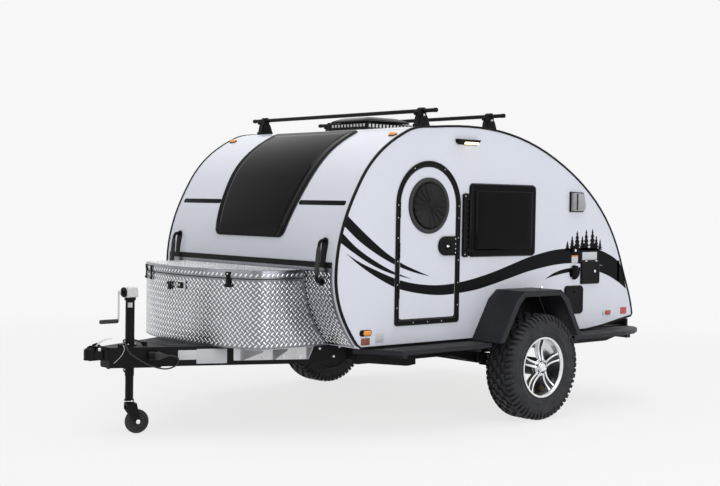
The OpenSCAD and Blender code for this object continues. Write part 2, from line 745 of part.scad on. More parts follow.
foot_pivot = [-890, 414];
foot_pin_r = 6;
module stabiliser(side) at_axle() on_side(side) color(frame_black) {
    difference() {
        across(stab_y - stab_half, stab_y + stab_half)
            polygon([[-540, 410], [-540, 436], [-552, 444], [-568, 444], [-580, 432], [-862, 432],
                     [-862, 400], [-570, 400]]);
        translate([stab_pivot[0], 0, stab_pivot[1]]) rod_y(stab_pin_r, stab_y - 30, stab_y + 30);
    }
    // Fork and pin that the foot hangs on
    for (y = [stab_y - stab_half, stab_y + stab_half - 5])
        across(y, y + 5) polygon([[-861, 432], [-898, 426], [-902, 410], [-894, 402], [-861, 400]]);
    translate([foot_pivot[0], 0, foot_pivot[1]])
        rod_y(foot_pin_r - pin_fit, stab_y - stab_half + 1, stab_y + stab_half - 1);
}

module stabiliser_foot(side) at_axle() on_side(side) color(frame_black)
    translate([foot_pivot[0], stab_y, 0]) difference() {
        union() {
            translate([0, 0, 372]) cylinder(r = 62, h = 7);
            translate([0, -8, foot_pivot[1]]) rod_y(12, 0, 16);
            translate([-12, -8, 378]) cube([24, 16, foot_pivot[1] - 378]);
        }
        translate([0, 0, foot_pivot[1]]) rod_y(foot_pin_r, -10, 10);
    }

// ---- Cords ------------------------------------------------------------------------------

// Turns x along a tongue rail's outer face, y out from it, from the place at x on the face
module on_rail(x) translate([x, tongue_edge(x), 0]) rotate([0, 0, -rail_angle]) children();
rail_angle = atan((tongue_y0 + tongue_t - tongue_y1) / (nose_x - rail_front_x));

plug_out = 32;
plug_z = 505;
holder_x = 2440;
module plug_holder() at_axle() color(trim_black) {
    on_rail(holder_x) difference() {
        union() {
            translate([0, 0.2, plug_z - 38]) cube([44, 5, 76]);
            translate([0, plug_out, plug_z]) rod_x(28, 2, 40);
            translate([6, 4, plug_z - 20]) cube([30, plug_out - 10, 40]);
        }
        translate([0, plug_out, plug_z]) rod_x(23.2, 1, 34);
    }
    // Cable gland on the nose plate, and the breakaway switch
    translate([2426, 34, plate_top]) cube([22, 26, 25]);
    translate([2437, 36, plate_top + 14]) rotate([90, 0, 0]) cylinder(r1 = 10, r2 = 6.2, h = 24);
    translate([2600, 44, plate_top]) cube([26, 30, 20]);
}

module trailer_plug() at_axle() color(trim_black) on_rail(holder_x) translate([0, plug_out, plug_z]) {
    rod_x(23, -12, 32);
    translate([-12, 0, 0]) rotate([0, -90, 0]) cylinder(r1 = 27, r2 = 11, h = 58);
}

// A round tube swept along a route, its sides square to the way between its neighbours
function lean(route, k) = unit(route[min(k + 1, len(route) - 1)] - route[max(k - 1, 0)]);
function square_to(way) = unit(cross(way, abs(way[2]) > 0.9 ? [1, 0, 0] : [0, 0, 1]));
module swept(route, r, sides) {
    rings = [for (k = [0:len(route) - 1]) let (w = lean(route, k), u = square_to(w), v = cross(w, u))
        for (j = [0:sides - 1]) route[k] + r * (cos(360 * j / sides) * u + sin(360 * j / sides) * v)];
    last = (len(route) - 1) * sides;
    polyhedron(points = rings, faces = concat(
        [[for (j = [0:sides - 1]) j]],
        [for (k = [0:len(route) - 2], j = [0:sides - 1]) let (a = k * sides, b = (j + 1) % sides)
            [a + j, a + sides + j, a + sides + b, a + b]],
        [[for (j = [sides - 1:-1:0]) last + j]]));
}

plug_cable_r = 5;
// From the gland on the nose plate, round the back of the jack, over the rail and down its
// outer face, then back up into the tail of the plug
plug_route = [[2437, 29, 570], [2440, 5, 572], [2447, -20, 579], [2463, -42, 585], [2487, -54, 587],
              [2513, -52, 587], [2535, -38, 585], [2549, -16, 581], [2558, 9, 576], [2566, 34, 570],
              [2577, 58, 567], [2589, 80, 565], [2598, 101, 560], [2597, 113, 544], [2582, 118, 522],
              [2563, 126, 505], [2541, 135, 488], [2517, 146, 472], [2492, 157, 457], [2466, 169, 444],
              [2440, 182, 433], [2413, 195, 425], [2386, 208, 421], [2360, 221, 424], [2337, 233, 434],
              [2321, 243, 450], [2315, 250, 470], [2323, 252, 489], [2343, 248, 501], [2364, 239, 505],
              [2390, 227, 505]];
module plug_cable() at_axle() color(trim_black) swept(plug_route, plug_cable_r, 8);

breakaway_r = 1.6;
// From the switch by the jack, over the rail and down its outer face to the nose
breakaway_route = [[2612, 70, 566], [2611, 76, 567], [2611, 82, 567], [2610, 88, 565], [2610, 93, 561],
                   [2610, 97, 555], [2611, 99, 547], [2613, 99, 538], [2617, 97, 527], [2622, 94, 516],
                   [2628, 91, 506], [2635, 88, 496], [2643, 84, 486], [2652, 80, 477], [2661, 75, 468],
                   [2668, 71, 461]];
module breakaway_cable() at_axle() color(alloy) swept(breakaway_route, breakaway_r, 8);

main_frame();
tongue_frame();
coupler();
coupler_latch();
jack_tube();
jack_head();
jack_leg();
castor_fork();
castor_wheel();
axle();
tyre(1);  // tyre_left
tyre(-1);  // tyre_right
wheel(1);  // wheel_left
wheel(-1);  // wheel_right
floor_deck();
side_wall(1);  // side_wall_left
side_wall(-1);  // side_wall_right
front_shell();
roof_shell();
galley_bulkhead();
galley_counter();
galley_hatch();
edge_trims();
door_frames();
door(1);  // door_left
door(-1);  // door_right
door_port(1);  // door_port_left
door_port(-1);  // door_port_right
front_window_frame();
front_window();
side_windows();
side_rails();
utility_hatch();
shower_hatch();
service_ports();
roof_bars();
rack_feet();
vent_base();
vent_lid();
storage_box();
storage_box_floor();
storage_box_lid();
lid_latches();
box_brackets();
rock_guard();
grab_handles();
fenders();
running_boards();
rear_bumper();
tail_lights();
marker_lights();
porch_lights();
stabiliser(1);  // stabiliser_left
stabiliser(-1);  // stabiliser_right
stabiliser_foot(1);  // stabiliser_foot_left
stabiliser_foot(-1);  // stabiliser_foot_right
plug_holder();
trailer_plug();
plug_cable();
breakaway_cable();
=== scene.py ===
"""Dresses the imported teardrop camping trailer: finishes, fine shapes, lights and camera."""

import sys

import json
import logging
import math
from collections.abc import Callable, Sequence
from dataclasses import dataclass, field
from enum import StrEnum

import bmesh
import bpy
from mathutils import Matrix, Vector


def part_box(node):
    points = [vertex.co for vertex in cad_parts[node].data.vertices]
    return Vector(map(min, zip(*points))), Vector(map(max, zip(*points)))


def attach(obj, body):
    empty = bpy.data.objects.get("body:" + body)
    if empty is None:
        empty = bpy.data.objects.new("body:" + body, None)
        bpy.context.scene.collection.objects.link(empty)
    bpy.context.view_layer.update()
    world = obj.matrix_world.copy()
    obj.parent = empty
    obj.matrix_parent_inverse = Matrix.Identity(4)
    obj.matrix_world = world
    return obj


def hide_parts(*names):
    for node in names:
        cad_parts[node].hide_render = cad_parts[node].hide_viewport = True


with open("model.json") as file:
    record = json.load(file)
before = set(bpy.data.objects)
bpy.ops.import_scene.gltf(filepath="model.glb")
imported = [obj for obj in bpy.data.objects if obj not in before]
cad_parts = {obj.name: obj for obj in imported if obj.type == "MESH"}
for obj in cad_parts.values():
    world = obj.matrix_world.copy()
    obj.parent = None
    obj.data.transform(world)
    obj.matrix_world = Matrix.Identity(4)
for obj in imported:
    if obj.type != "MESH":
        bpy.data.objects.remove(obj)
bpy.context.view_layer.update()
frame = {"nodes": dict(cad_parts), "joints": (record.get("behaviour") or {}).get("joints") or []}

log = logging.getLogger("trailer")

Point2 = tuple[float, float]
Rgb = tuple[float, float, float]
Point3 = tuple[float, float, float]

TYRE_LOW, TYRE_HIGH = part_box("tyre_left")
AXLE_X = (TYRE_LOW.x + TYRE_HIGH.x) / 2
WALL_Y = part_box("side_wall_left")[1].y


class Side(StrEnum):
    """A side of the trailer, as the model's nodes and bodies name it."""

    LEFT = "left"
    RIGHT = "right"

    def placed(self, shape: "Shape") -> "Shape":
        """A left-hand shape as it stands on this side."""
        return shape if self is Side.LEFT else shape.mirrored()


def ahead(x: float) -> float:
    """The row frame's x of a place that far ahead of the axle."""
    return AXLE_X + x


# ---- Finishes ---------------------------------------------------------------------------


class Graph:
    """A material's node tree, with short calls for the nodes that the finishes use."""

    def __init__(self, name: str) -> None:
        """Makes the material with its shader.

        Args:
            name: The material's name.
        """
        self.material = bpy.data.materials.new(name)
        self.material.use_nodes = True
        self.tree = self.material.node_tree
        self.shader = self.tree.nodes["Principled BSDF"]
        self.place = self.add("ShaderNodeTexCoord").outputs["Object"]

    def add(self, kind: str, **settings: object) -> bpy.types.Node:
        """Adds a node and sets its properties.

        Args:
            kind: The node's type.
            settings: The properties to set on it.

        Returns:
            The node.
        """
        node = self.tree.nodes.new(kind)
        for key, value in settings.items():
            setattr(node, key, value)
        return node

    def feed(self, socket: bpy.types.NodeSocket, value: object) -> None:
        """Links an output to a socket, or sets the socket to a plain value.

        Args:
            socket: The input.
            value: An output, or a plain value.
        """
        if isinstance(value, bpy.types.NodeSocket):
            self.tree.links.new(value, socket)
        elif isinstance(value, tuple) and len(value) == 3 and socket.type == "RGBA":
            socket.default_value = (*value, 1.0)
        else:
            socket.default_value = value

    def scaled(self, scale: Rgb) -> bpy.types.NodeSocket:
        """The object's coordinates, stretched by a factor for each axis.

        Args:
            scale: The factor on each axis.

        Returns:
            The stretched coordinates.
        """
        node = self.add("ShaderNodeMapping")
        self.feed(node.inputs["Vector"], self.place)
        node.inputs["Scale"].default_value = scale
        return node.outputs["Vector"]

    def noise(self, scale: float, detail: float = 3.0, stretch: Rgb = (1, 1, 1)) -> bpy.types.NodeSocket:
        """Noise from 0 to 1.

        Args:
            scale: How many waves a metre holds.
            detail: How many finer octaves it has.
            stretch: A factor on each axis.

        Returns:
            The noise's value.
        """
        node = self.add("ShaderNodeTexNoise")
        self.feed(node.inputs["Vector"], self.scaled(stretch))
        node.inputs["Scale"].default_value = scale
        node.inputs["Detail"].default_value = detail
        return node.outputs["Fac"]

    def sum(self, operation: str, first: object, second: object = 0.0) -> bpy.types.NodeSocket:
        """One step of arithmetic on two values.

        Args:
            operation: The name of the arithmetic.
            first: The first value.
            second: The second value.

        Returns:
            The result.
        """
        node = self.add("ShaderNodeMath", operation=operation)
        self.feed(node.inputs[0], first)
        self.feed(node.inputs[1], second)
        return node.outputs[0]

    def spread(
        self, value: object, low: float, high: float, source: Point2 = (0.3, 0.7)
    ) -> bpy.types.NodeSocket:
        """A value moved from one range to another.

        Args:
            value: What is moved.
            low: Where the source's low end goes.
            high: Where its high end goes.
            source: The range that the value comes in.

        Returns:
            The moved value.
        """
        node = self.add("ShaderNodeMapRange")
        self.feed(node.inputs["Value"], value)
        for key, number in zip(("From Min", "From Max", "To Min", "To Max"), (*source, low, high)):
            node.inputs[key].default_value = number
        return node.outputs["Result"]

    def blend(self, share: object, first: object, second: object) -> bpy.types.NodeSocket:
        """A colour between two, by a share from 0 to 1.

        Args:
            share: How much of the second shows.
            first: The colour at 0.
            second: The colour at 1.

        Returns:
            The blended colour.
        """
        node = self.add("ShaderNodeMix", data_type="RGBA")
        self.feed(node.inputs[0], share)
        self.feed(node.inputs[6], first)
        self.feed(node.inputs[7], second)
        return node.outputs[2]

    def emboss(
        self, height: object, depth: float, strength: float = 1.0, under: object = None
    ) -> bpy.types.NodeSocket:
        """A bump.

        Args:
            height: The relief, from 0 to 1.
            depth: How deep a step of 1 is, in metres.
            strength: How much of it shows.
            under: A bump that this one lies on.

        Returns:
            The bent normal.
        """
        node = self.add("ShaderNodeBump")
        node.inputs["Strength"].default_value = strength
        node.inputs["Distance"].default_value = depth
        self.feed(node.inputs["Height"], height)
        if under is not None:
            self.feed(node.inputs["Normal"], under)
        return node.outputs["Normal"]

    def shade(self, **sockets: object) -> bpy.types.Material:
        """Feeds the shader's sockets by their names, with _ for a space.

        Args:
            sockets: The value or the output for each input.

        Returns:
            The material.
        """
        for key, value in sockets.items():
            self.feed(self.shader.inputs[key.replace("_", " ")], value)
        return self.material


@dataclass(frozen=True)
class Finish:
    """A surface's finish: one colour that drifts a little, with a fine grain."""

    name: str
    slot: str
    colour: Rgb
    roughness: float = 0.5
    metal: float = 0.0
    coat: float = 0.0
    drift: float = 0.08
    patch: float = 3.0
    grain: float = 500.0
    depth: float = 0.0002
    dust: float = 0.0
    shine: float = 0.5

    def shift(self, factor: float) -> Rgb:
        """The colour, made darker or lighter."""
        return tuple(min(1.0, c * factor) for c in self.colour)

    def base(self, graph: Graph) -> object:
        """The colour over the surface.

        Args:
            graph: The material's nodes.

        Returns:
            The colour, or a socket that carries it.
        """
        tone = graph.blend(
            graph.spread(graph.noise(self.patch, 4.0), 0.0, 1.0),
            self.shift(1 - self.drift),
            self.shift(1 + self.drift),
        )
        if not self.dust:
            return tone
        fleck = graph.spread(graph.noise(self.grain / 3, 5.0), 0.0, self.dust, (0.45, 0.75))
        return graph.blend(fleck, tone, (0.3, 0.29, 0.27))

    def relief(self, graph: Graph) -> object:
        """The bump over the surface."""
        return graph.emboss(graph.noise(self.grain, 2.0), self.depth)

    def make(self) -> bpy.types.Material:
        """Makes the material, once.

        Returns:
            The material.
        """
        made = bpy.data.materials.get(self.name)
        if made:
            return made
        graph = Graph(self.name)
        rough = graph.spread(
            graph.noise(self.patch * 4, 4.0), self.roughness * 0.82, min(1.0, self.roughness * 1.18)
        )
        return graph.shade(
            Base_Color=self.base(graph),
            Roughness=rough,
            Metallic=self.metal,
            Specular_IOR_Level=self.shine,
            Coat_Weight=self.coat,
            Coat_Roughness=0.06,
            Normal=self.relief(graph),
        )


@dataclass(frozen=True)
class Gelcoat(Finish):
    """Glossy laminate with the faint waviness of a large sandwich panel."""

    wave: float = 0.0016

    def relief(self, graph: Graph) -> object:
        """Long waves with a fine orange peel on them."""
        long_wave = graph.emboss(graph.noise(2.2, 1.0), self.wave)
        return graph.emboss(graph.noise(self.grain, 2.0), self.depth, 1.0, long_wave)


@dataclass(frozen=True)
class Rubbed(Finish):
    """Metal with fine scratches along one axis."""

    along: Rgb = (1.0, 1.0, 0.04)

    def relief(self, graph: Graph) -> object:
        """Scratches, drawn out along the grain."""
        return graph.emboss(graph.noise(self.grain, 4.0, self.along), self.depth)


@dataclass(frozen=True)
class Tread(Finish):
    """Tyre rubber, a little dusty, with a moulded grain."""

    def base(self, graph: Graph) -> object:
        """Black with a dusty bloom in patches."""
        bloom = graph.spread(graph.noise(14.0, 5.0), 0.0, 0.5, (0.42, 0.8))
        return graph.blend(bloom, self.colour, self.shift(2.6))


@dataclass(frozen=True)
class Timber(Finish):
    """Plywood with long grain."""

    def base(self, graph: Graph) -> object:
        """Grain lines along the length."""
        lines = graph.spread(graph.noise(9.0, 6.0, (0.6, 12.0, 6.0)), 0.0, 1.0)
        return graph.blend(lines, self.shift(0.75), self.shift(1.15))


@dataclass(frozen=True)
class Lens(Finish):
    """A moulded lamp lens with fine ribs, and a lamp's glow where it is lit (a painted glow on the rear
    reflectors).
    """

    glow: float = 0.0
    clear: float = 0.0

    def make(self) -> bpy.types.Material:
        """Makes the material, once.

        Returns:
            The material.
        """
        made = bpy.data.materials.get(self.name)
        if made:
            return made
        graph = Graph(self.name)
        ribs = graph.add("ShaderNodeTexWave", wave_type="BANDS", bands_direction="X")
        graph.feed(ribs.inputs["Vector"], graph.place)
        ribs.inputs["Scale"].default_value = 60.0
        graph.shader.inputs["Emission Strength"].default_value = self.glow
        graph.shader.inputs["Emission Color"].default_value = (*self.colour, 1.0)
        return graph.shade(
            Base_Color=self.base(graph),
            Roughness=self.roughness,
            Transmission_Weight=self.clear,
            Coat_Weight=self.coat,
            Normal=graph.emboss(ribs.outputs["Fac"], 0.0008),
        )


WHITE = Gelcoat(
    "white_laminate", "body_white", (0.7, 0.725, 0.805), 0.225, coat=0.25, drift=0.012, grain=900.0,
    depth=0.00004
)
TRIM = Finish(
    "black_satin_trim", "black_trim", (0.005, 0.005, 0.006), 0.34, drift=0.15, grain=1400.0, depth=0.00012,
    shine=0.1
)
POWDER = Finish(
    "black_powder_coat", "frame_paint", (0.0055, 0.0055, 0.0065), 0.44, drift=0.2, grain=1100.0,
    depth=0.0004, dust=0.012, shine=0.12
)
FENDER_COAT = Finish(
    "black_textured_coat", "black_trim", (0.0085, 0.009, 0.013), 0.48, drift=0.2, grain=800.0, depth=0.0005,
    dust=0.015, shine=0.26
)
GLOSS = Finish(
    "black_gloss_acrylic", "black_glass", (0.0012, 0.0012, 0.0015), 0.05, coat=0.0, drift=0.3, grain=3.0,
    depth=0.0005, shine=0.08
)
RUBBER = Finish(
    "black_rubber", "black_rubber", (0.006, 0.006, 0.0065), 0.46, drift=0.25, grain=900.0, depth=0.0003,
    shine=0.12
)
DECAL = Finish(
    "charcoal_vinyl", "black_trim", (0.0045, 0.005, 0.0065), 0.34, coat=0.0, drift=0.1, grain=1500.0,
    depth=0.00003, shine=0.06
)
TYRE = Tread(
    "tyre_rubber", "tyre", (0.015, 0.0155, 0.0175), 0.66, drift=0.2, grain=700.0, depth=0.0006, shine=0.34
)
CHEQUER = Rubbed(
    "bright_chequer_plate", "chequer_plate", (0.235, 0.24, 0.265), 0.225, metal=1.0, drift=0.14, patch=6.0,
    grain=500.0, depth=0.0003, along=(1.0, 1.0, 0.08)
)
LUG = Rubbed(
    "chequer_lugs", "chequer_plate", (0.84, 0.85, 0.87), 0.2, metal=1.0, drift=0.08, patch=9.0, grain=600.0,
    depth=0.0002
)
ALLOY = Rubbed(
    "machined_alloy", "alloy", (0.8, 0.81, 0.83), 0.2, metal=1.0, drift=0.05, grain=900.0, depth=0.0001
)
CHROME = Finish(
    "bright_chrome", "alloy", (0.85, 0.86, 0.88), 0.07, metal=1.0, drift=0.03, grain=700.0, depth=0.00003
)
DARK_ALLOY = Finish(
    "dark_painted_pocket", "alloy", (0.035, 0.035, 0.038), 0.42, metal=0.4, drift=0.2, grain=900.0,
    depth=0.0002
)
ZINC = Finish(
    "zinc_plate", "zinc", (0.6, 0.61, 0.62), 0.36, metal=0.9, drift=0.16, patch=30.0, grain=220.0,
    depth=0.0002
)
HEAD_PAINT = Finish(
    "pale_grey_paint", "zinc", (0.62, 0.63, 0.62), 0.38, metal=0.15, drift=0.05, grain=500.0, depth=0.0002
)
PLY = Timber("birch_plywood", "plywood", (0.55, 0.4, 0.25), 0.45, coat=0.2, grain=300.0, depth=0.0002)
VENT_PLASTIC = Finish(
    "pale_vent_plastic", "pale_plastic", (0.62, 0.62, 0.6), 0.45, drift=0.05, grain=600.0, depth=0.0002
)
AMBER = Lens("amber_lens", "lenses", (0.85, 0.3, 0.02), 0.16, coat=0.6, drift=0.15, glow=0.12)
RED = Lens("red_lens", "lenses", (0.5, 0.012, 0.01), 0.16, coat=0.6, drift=0.15, glow=0.05)
BROWN_LENS = Lens("brown_reflector", "lenses", (0.22, 0.05, 0.025), 0.22, coat=0.5, drift=0.2)
WARM_LENS = Lens("warm_lit_lens", "lenses", (1.0, 0.72, 0.38), 0.25, coat=0.3, glow=2.4)
CLEAR_LENS = Lens("smoked_clear_lens", "lenses", (0.42, 0.43, 0.46), 0.1, coat=0.8, drift=0.2, clear=0.25)
SLEEVE = Finish(
    "pleated_blind", "black_glass", (0.006, 0.0055, 0.006), 0.34, drift=0.3, grain=300.0, depth=0.0002,
    shine=0.14
)
PLATE_WHITE = Finish(
    "white_blank_plate", "body_white", (0.58, 0.59, 0.62), 0.35, drift=0.03, grain=400.0, depth=0.0001
)
BRUSHED = Rubbed(
    "brushed_bracket_plate", "alloy", (0.5, 0.5, 0.52), 0.34, metal=1.0, drift=0.14, grain=700.0,
    depth=0.0002
)
PLATE_ORANGE = Finish(
    "orange_blank_band", "lenses", (0.75, 0.3, 0.1), 0.4, drift=0.05, grain=400.0, depth=0.0001
)


# ---- Shapes -----------------------------------------------------------------------------


def rounded(
    width: float, height: float, radius: float, steps: int = 8, at: Point2 = (0.0, 0.0)
) -> list[Point2]:
    """A rectangle's outline with round corners, anticlockwise.

    Args:
        width: Its size along the first axis.
        height: Its size along the second axis.
        radius: The corners' radius.
        steps: How many sides a corner has.
        at: Its middle.

    Returns:
        The outline's points.
    """
    points = []
    for corner, (su, sv) in enumerate(((1, 1), (-1, 1), (-1, -1), (1, -1))):
        for k in range(steps + 1):
            turn = math.radians(90 * corner + 90 * k / steps)
            points.append((
                at[0] + su * (width / 2 - radius) + radius * math.cos(turn),
                at[1] + sv * (height / 2 - radius) + radius * math.sin(turn),
            ))
    return points


def circle(radius: float, steps: int = 48, at: Point2 = (0.0, 0.0)) -> list[Point2]:
    """A circle's outline, anticlockwise.

    Args:
        radius: Its radius.
        steps: How many points it has.
        at: Its middle.

    Returns:
        The circle's points.
    """
    return [
        (at[0] + radius * math.cos(math.tau * k / steps), at[1] + radius * math.sin(math.tau * k / steps))
        for k in range(steps)
    ]


def anticlockwise(outline: Sequence[Point2]) -> Sequence[Point2]:
    """An outline that runs anticlockwise, turned round if it didn't.

    Args:
        outline: The outline, either way round.

    Returns:
        The outline, anticlockwise.
    """
    area = sum(a[0] * b[1] - b[0] * a[1] for a, b in zip(outline, [*outline[1:], outline[0]]))
    return outline if area > 0 else outline[::-1]


def inset(outline: Sequence[Point2], depth: float) -> list[Point2]:
    """An anticlockwise outline drawn in by a depth, corner by corner.

    Args:
        outline: The outline, anticlockwise.
        depth: How far it is drawn in.

    Returns:
        The smaller outline.
    """
    points = []
    count = len(outline)
    for k, (u, v) in enumerate(outline):
        before, after = Vector(outline[k - 1]), Vector(outline[(k + 1) % count])
        here = Vector((u, v))
        first, second = (here - before).normalized(), (after - here).normalized()
        if first.length == 0:
            first = second
        if second.length == 0:
            second = first
        inward = Vector((-first.y - second.y, first.x + second.x)).normalized()
        reach = depth / max(0.35, inward.dot(Vector((-first.y, first.x))))
        points.append((u + inward.x * reach, v + inward.y * reach))
    return points


def smooth_line(knots: Sequence[Point2], steps: int = 8, closed: bool = False) -> list[Point2]:
    """A smooth curve through knots (Catmull-Rom).

    Args:
        knots: The points that it passes through.
        steps: How many sides there are between two knots.
        closed: Whether the last knot joins the first.

    Returns:
        The curve's points.
    """
    count = len(knots)
    points = []
    for k in range(count if closed else count - 1):
        if closed:
            a, b, c, d = (Vector(knots[(k + j) % count]) for j in (-1, 0, 1, 2))
        else:
            b, c = Vector(knots[k]), Vector(knots[k + 1])
            a = Vector(knots[k - 1]) if k else b
            d = Vector(knots[k + 2]) if k + 2 < count else c
        for j in range(steps):
            t = j / steps
            p = 0.5 * (
                2 * b + (c - a) * t + (2 * a - 5 * b + 4 * c - d) * t * t + (3 * b - a - 3 * c + d) * t ** 3
            )
            points.append(tuple(p))
    if not closed:
        points.append(tuple(knots[-1]))
    return points


class Shape:
    """Points and faces that are gathered before they become a piece."""

    def __init__(self) -> None:
        """Starts empty."""
        self.points: list[Vector] = []
        self.faces: list[tuple[int, ...]] = []

    def loft(
        self, rings: Sequence[Sequence[Sequence[float]]], closed: bool = True, caps: bool = True
    ) -> "Shape":
        """Joins rings of equal count with faces.

        Args:
            rings: The rings of points, in order.
            closed: Whether each ring runs round to its start.
            caps: Whether the first and last ring are filled.

        Returns:
            This shape.
        """
        start, count = len(self.points), len(rings[0])
        for ring in rings:
            self.points += [Vector(p) for p in ring]
        span = count if closed else count - 1
        for r in range(len(rings) - 1):
            low, high = start + r * count, start + (r + 1) * count
            for k in range(span):
                n = (k + 1) % count
                self.faces.append((low + k, low + n, high + n, high + k))
        if caps:
            self.faces.append(tuple(range(start + count - 1, start - 1, -1)))
            last = start + (len(rings) - 1) * count
            self.faces.append(tuple(range(last, last + count)))
        return self

    def ring_loft(self, rings: Sequence[Sequence[Sequence[float]]], closed: bool = True) -> "Shape":
        """Joins rings that come back to the first one, as in a frame."""
        return self.loft([*rings, rings[0]], closed, False)

    def slab(
        self, outline: Sequence[Point2], levels: Sequence[Point2],
        place: Callable[[float, float, float], Sequence[float]]
    ) -> "Shape":
        """A plate with shaped edges.

        Args:
            outline: Its outline, anticlockwise.
            levels: How far it is drawn in and how high it stands, for each ring.
            place: Turns outline points and heights into places.

        Returns:
            This shape.
        """
        return self.loft([[place(u, v, high) for u, v in inset(outline, depth)] for depth, high in levels])

    def panel(
        self, size: Point2, radius: float, at: Point2, levels: Sequence[Point2],
        place: Callable[[float, float, float], Sequence[float]],
    ) -> "Shape":
        """A rounded rectangular panel whose rings keep round corners however far in they lie.

        Args:
            size: Its width and height.
            radius: Its corners' radius.
            at: Its middle.
            levels: How far it is drawn in and how high it stands, for each ring.
            place: Turns outline points and heights into places.

        Returns:
            This shape.
        """
        rings = []
        for depth, high in levels:
            outline = rounded(size[0] - 2 * depth, size[1] - 2 * depth, max(0.005, radius - depth), 7, at)
            rings.append([place(u, v, high) for u, v in outline])
        return self.loft(rings)

    def tube(
        self, path: Sequence[Sequence[float]], radius: float | Sequence[float], sides: int = 14,
        closed: bool = False
    ) -> "Shape":
        """A round tube along a path.

        Args:
            path: The points that it follows.
            radius: Its radius, or one for each point.
            sides: How many sides it has.
            closed: Whether it joins its own start.

        Returns:
            This shape.
        """
        line = [Vector(p) for p in path]
        count = len(line)
        across, rings = None, []
        for k, here in enumerate(line):
            after = line[(k + 1) % count] if closed or k + 1 < count else here
            before = line[k - 1] if closed or k else here
            way = (after - before).normalized()
            if across is None:
                pick = Vector((0, 0, 1)) if abs(way.z) < 0.9 else Vector((1, 0, 0))
                across = way.cross(pick).normalized()
            across = (across - way * across.dot(way)).normalized()
            up = way.cross(across)
            r = radius if isinstance(radius, (int, float)) else radius[k]
            rings.append([
                here + r * (math.cos(math.tau * j / sides) * across + math.sin(math.tau * j / sides) * up)
                for j in range(sides)
            ])
        return self.ring_loft(rings) if closed else self.loft(rings)

    def turned(
        self, profile: Sequence[Point2], at: Sequence[float], axis: Sequence[float], steps: int = 48,
        closed: bool = False
    ) -> "Shape":
        """A profile turned about an axis.

        Args:
            profile: Radius and height along the axis, for each ring.
            at: Where height 0 is.
            axis: The axis' direction.
            steps: How many sides it has.
            closed: Whether the profile joins its own start.

        Returns:
            This shape.
        """
        way = Vector(axis).normalized()
        pick = Vector((0, 0, 1)) if abs(way.z) < 0.9 else Vector((1, 0, 0))
        across = way.cross(pick).normalized()
        up = way.cross(across)
        rings = [
            [
                Vector(at) + way * high + max(r, 1e-5) * (
                    math.cos(math.tau * k / steps) * across + math.sin(math.tau * k / steps) * up
                )
                for k in range(steps)
            ]
            for r, high in profile
        ]
        return self.ring_loft(rings) if closed else self.loft(rings)

    def block(self, low: Sequence[float], high: Sequence[float]) -> "Shape":
        """A box between two corners, which a bevel rounds later.

        Args:
            low: Its lowest corner.
            high: Its highest corner.

        Returns:
            This shape.
        """
        (x0, y0, z0), (x1, y1, z1) = low, high
        rings = [[(x0, y0, z), (x1, y0, z), (x1, y1, z), (x0, y1, z)] for z in (z0, z1)]
        return self.loft(rings)

    def bolt(self, at: Sequence[float], axis: Sequence[float], radius: float, height: float) -> "Shape":
        """A hexagon head on a washer."""
        self.turned(
            [(radius * 1.5, 0), (radius * 1.5, height * 0.2), (radius * 1.4, height * 0.25)], at, axis, 20
        )
        return self.turned(
            [(radius, height * 0.2), (radius, height * 0.85), (radius * 0.82, height)], at, axis, 6
        )

    def screw(self, at: Sequence[float], axis: Sequence[float], radius: float) -> "Shape":
        """A low domed screw head."""
        return self.turned(
            [
                (radius, 0), (radius, radius * 0.25), (radius * 0.7, radius * 0.55),
                (radius * 0.3, radius * 0.66)
            ],
            at, axis, 14
        )

    def add(self, other: "Shape") -> "Shape":
        """Takes in another shape.

        Args:
            other: The shape it takes in.

        Returns:
            This shape.
        """
        start = len(self.points)
        self.points += other.points
        self.faces += [tuple(start + k for k in f) for f in other.faces]
        return self

    def moved(self, matrix: Matrix) -> "Shape":
        """A copy that a matrix has moved.

        Args:
            matrix: The movement.

        Returns:
            The moved copy.
        """
        other = Shape()
        other.points = [matrix @ p for p in self.points]
        flip = matrix.determinant() < 0
        other.faces = [f[::-1] if flip else f for f in self.faces]
        return other

    def mirrored(self) -> "Shape":
        """The same shape on the trailer's other side."""
        return self.moved(Matrix.Diagonal((1, -1, 1, 1)))

    def both(self) -> "Shape":
        """This shape with its mirror image on the other side."""
        return self.add(self.mirrored())


def on_wall(u: float, v: float, high: float) -> Point3:
    """A place on the left-hand wall: u ahead of the axle, v up, high off the wall."""
    return (ahead(u), WALL_Y + high, v)


def make_piece(
    name: str,
    shape: Shape,
    finish: Finish,
    body: str = "chassis",
    replaces: Sequence[str] = (),
    bevel: float = 0.0,
    sharp: float = 32.0,
    segments: int = 2,
) -> bpy.types.Object:
    """Turns a shape into a piece of the trailer.

    Args:
        name: The piece's name.
        shape: Its points and faces.
        finish: Its surface.
        body: The moving body that it rides on.
        replaces: The CAD nodes that it stands for.
        bevel: The width that its sharp edges are rounded to.
        sharp: The angle above which an edge is sharp, in degrees.
        segments: How many steps the rounding has.

    Returns:
        The object.
    """
    mesh = bpy.data.meshes.new(name)
    mesh.from_pydata([tuple(p) for p in shape.points], [], shape.faces)
    mesh.validate()
    piece = bpy.data.objects.new(name, mesh)
    bpy.context.scene.collection.objects.link(piece)
    mesh.materials.append(finish.make())
    even_normals(mesh)
    smooth_faces(mesh)
    mesh.set_sharp_from_angle(angle=math.radians(sharp))
    if bevel:
        round_edges(piece, bevel, sharp, segments)
    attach(piece, body)
    if replaces:
        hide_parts(*replaces)
    log.info("%s: %d faces on %s", name, len(mesh.polygons), body)
    return piece


def even_normals(mesh: bpy.types.Mesh) -> None:
    """Turns every face of a mesh outwards.

    Args:
        mesh: The mesh.
    """
    work = bmesh.new()
    work.from_mesh(mesh)
    bmesh.ops.recalc_face_normals(work, faces=work.faces)
    work.to_mesh(mesh)
    work.free()


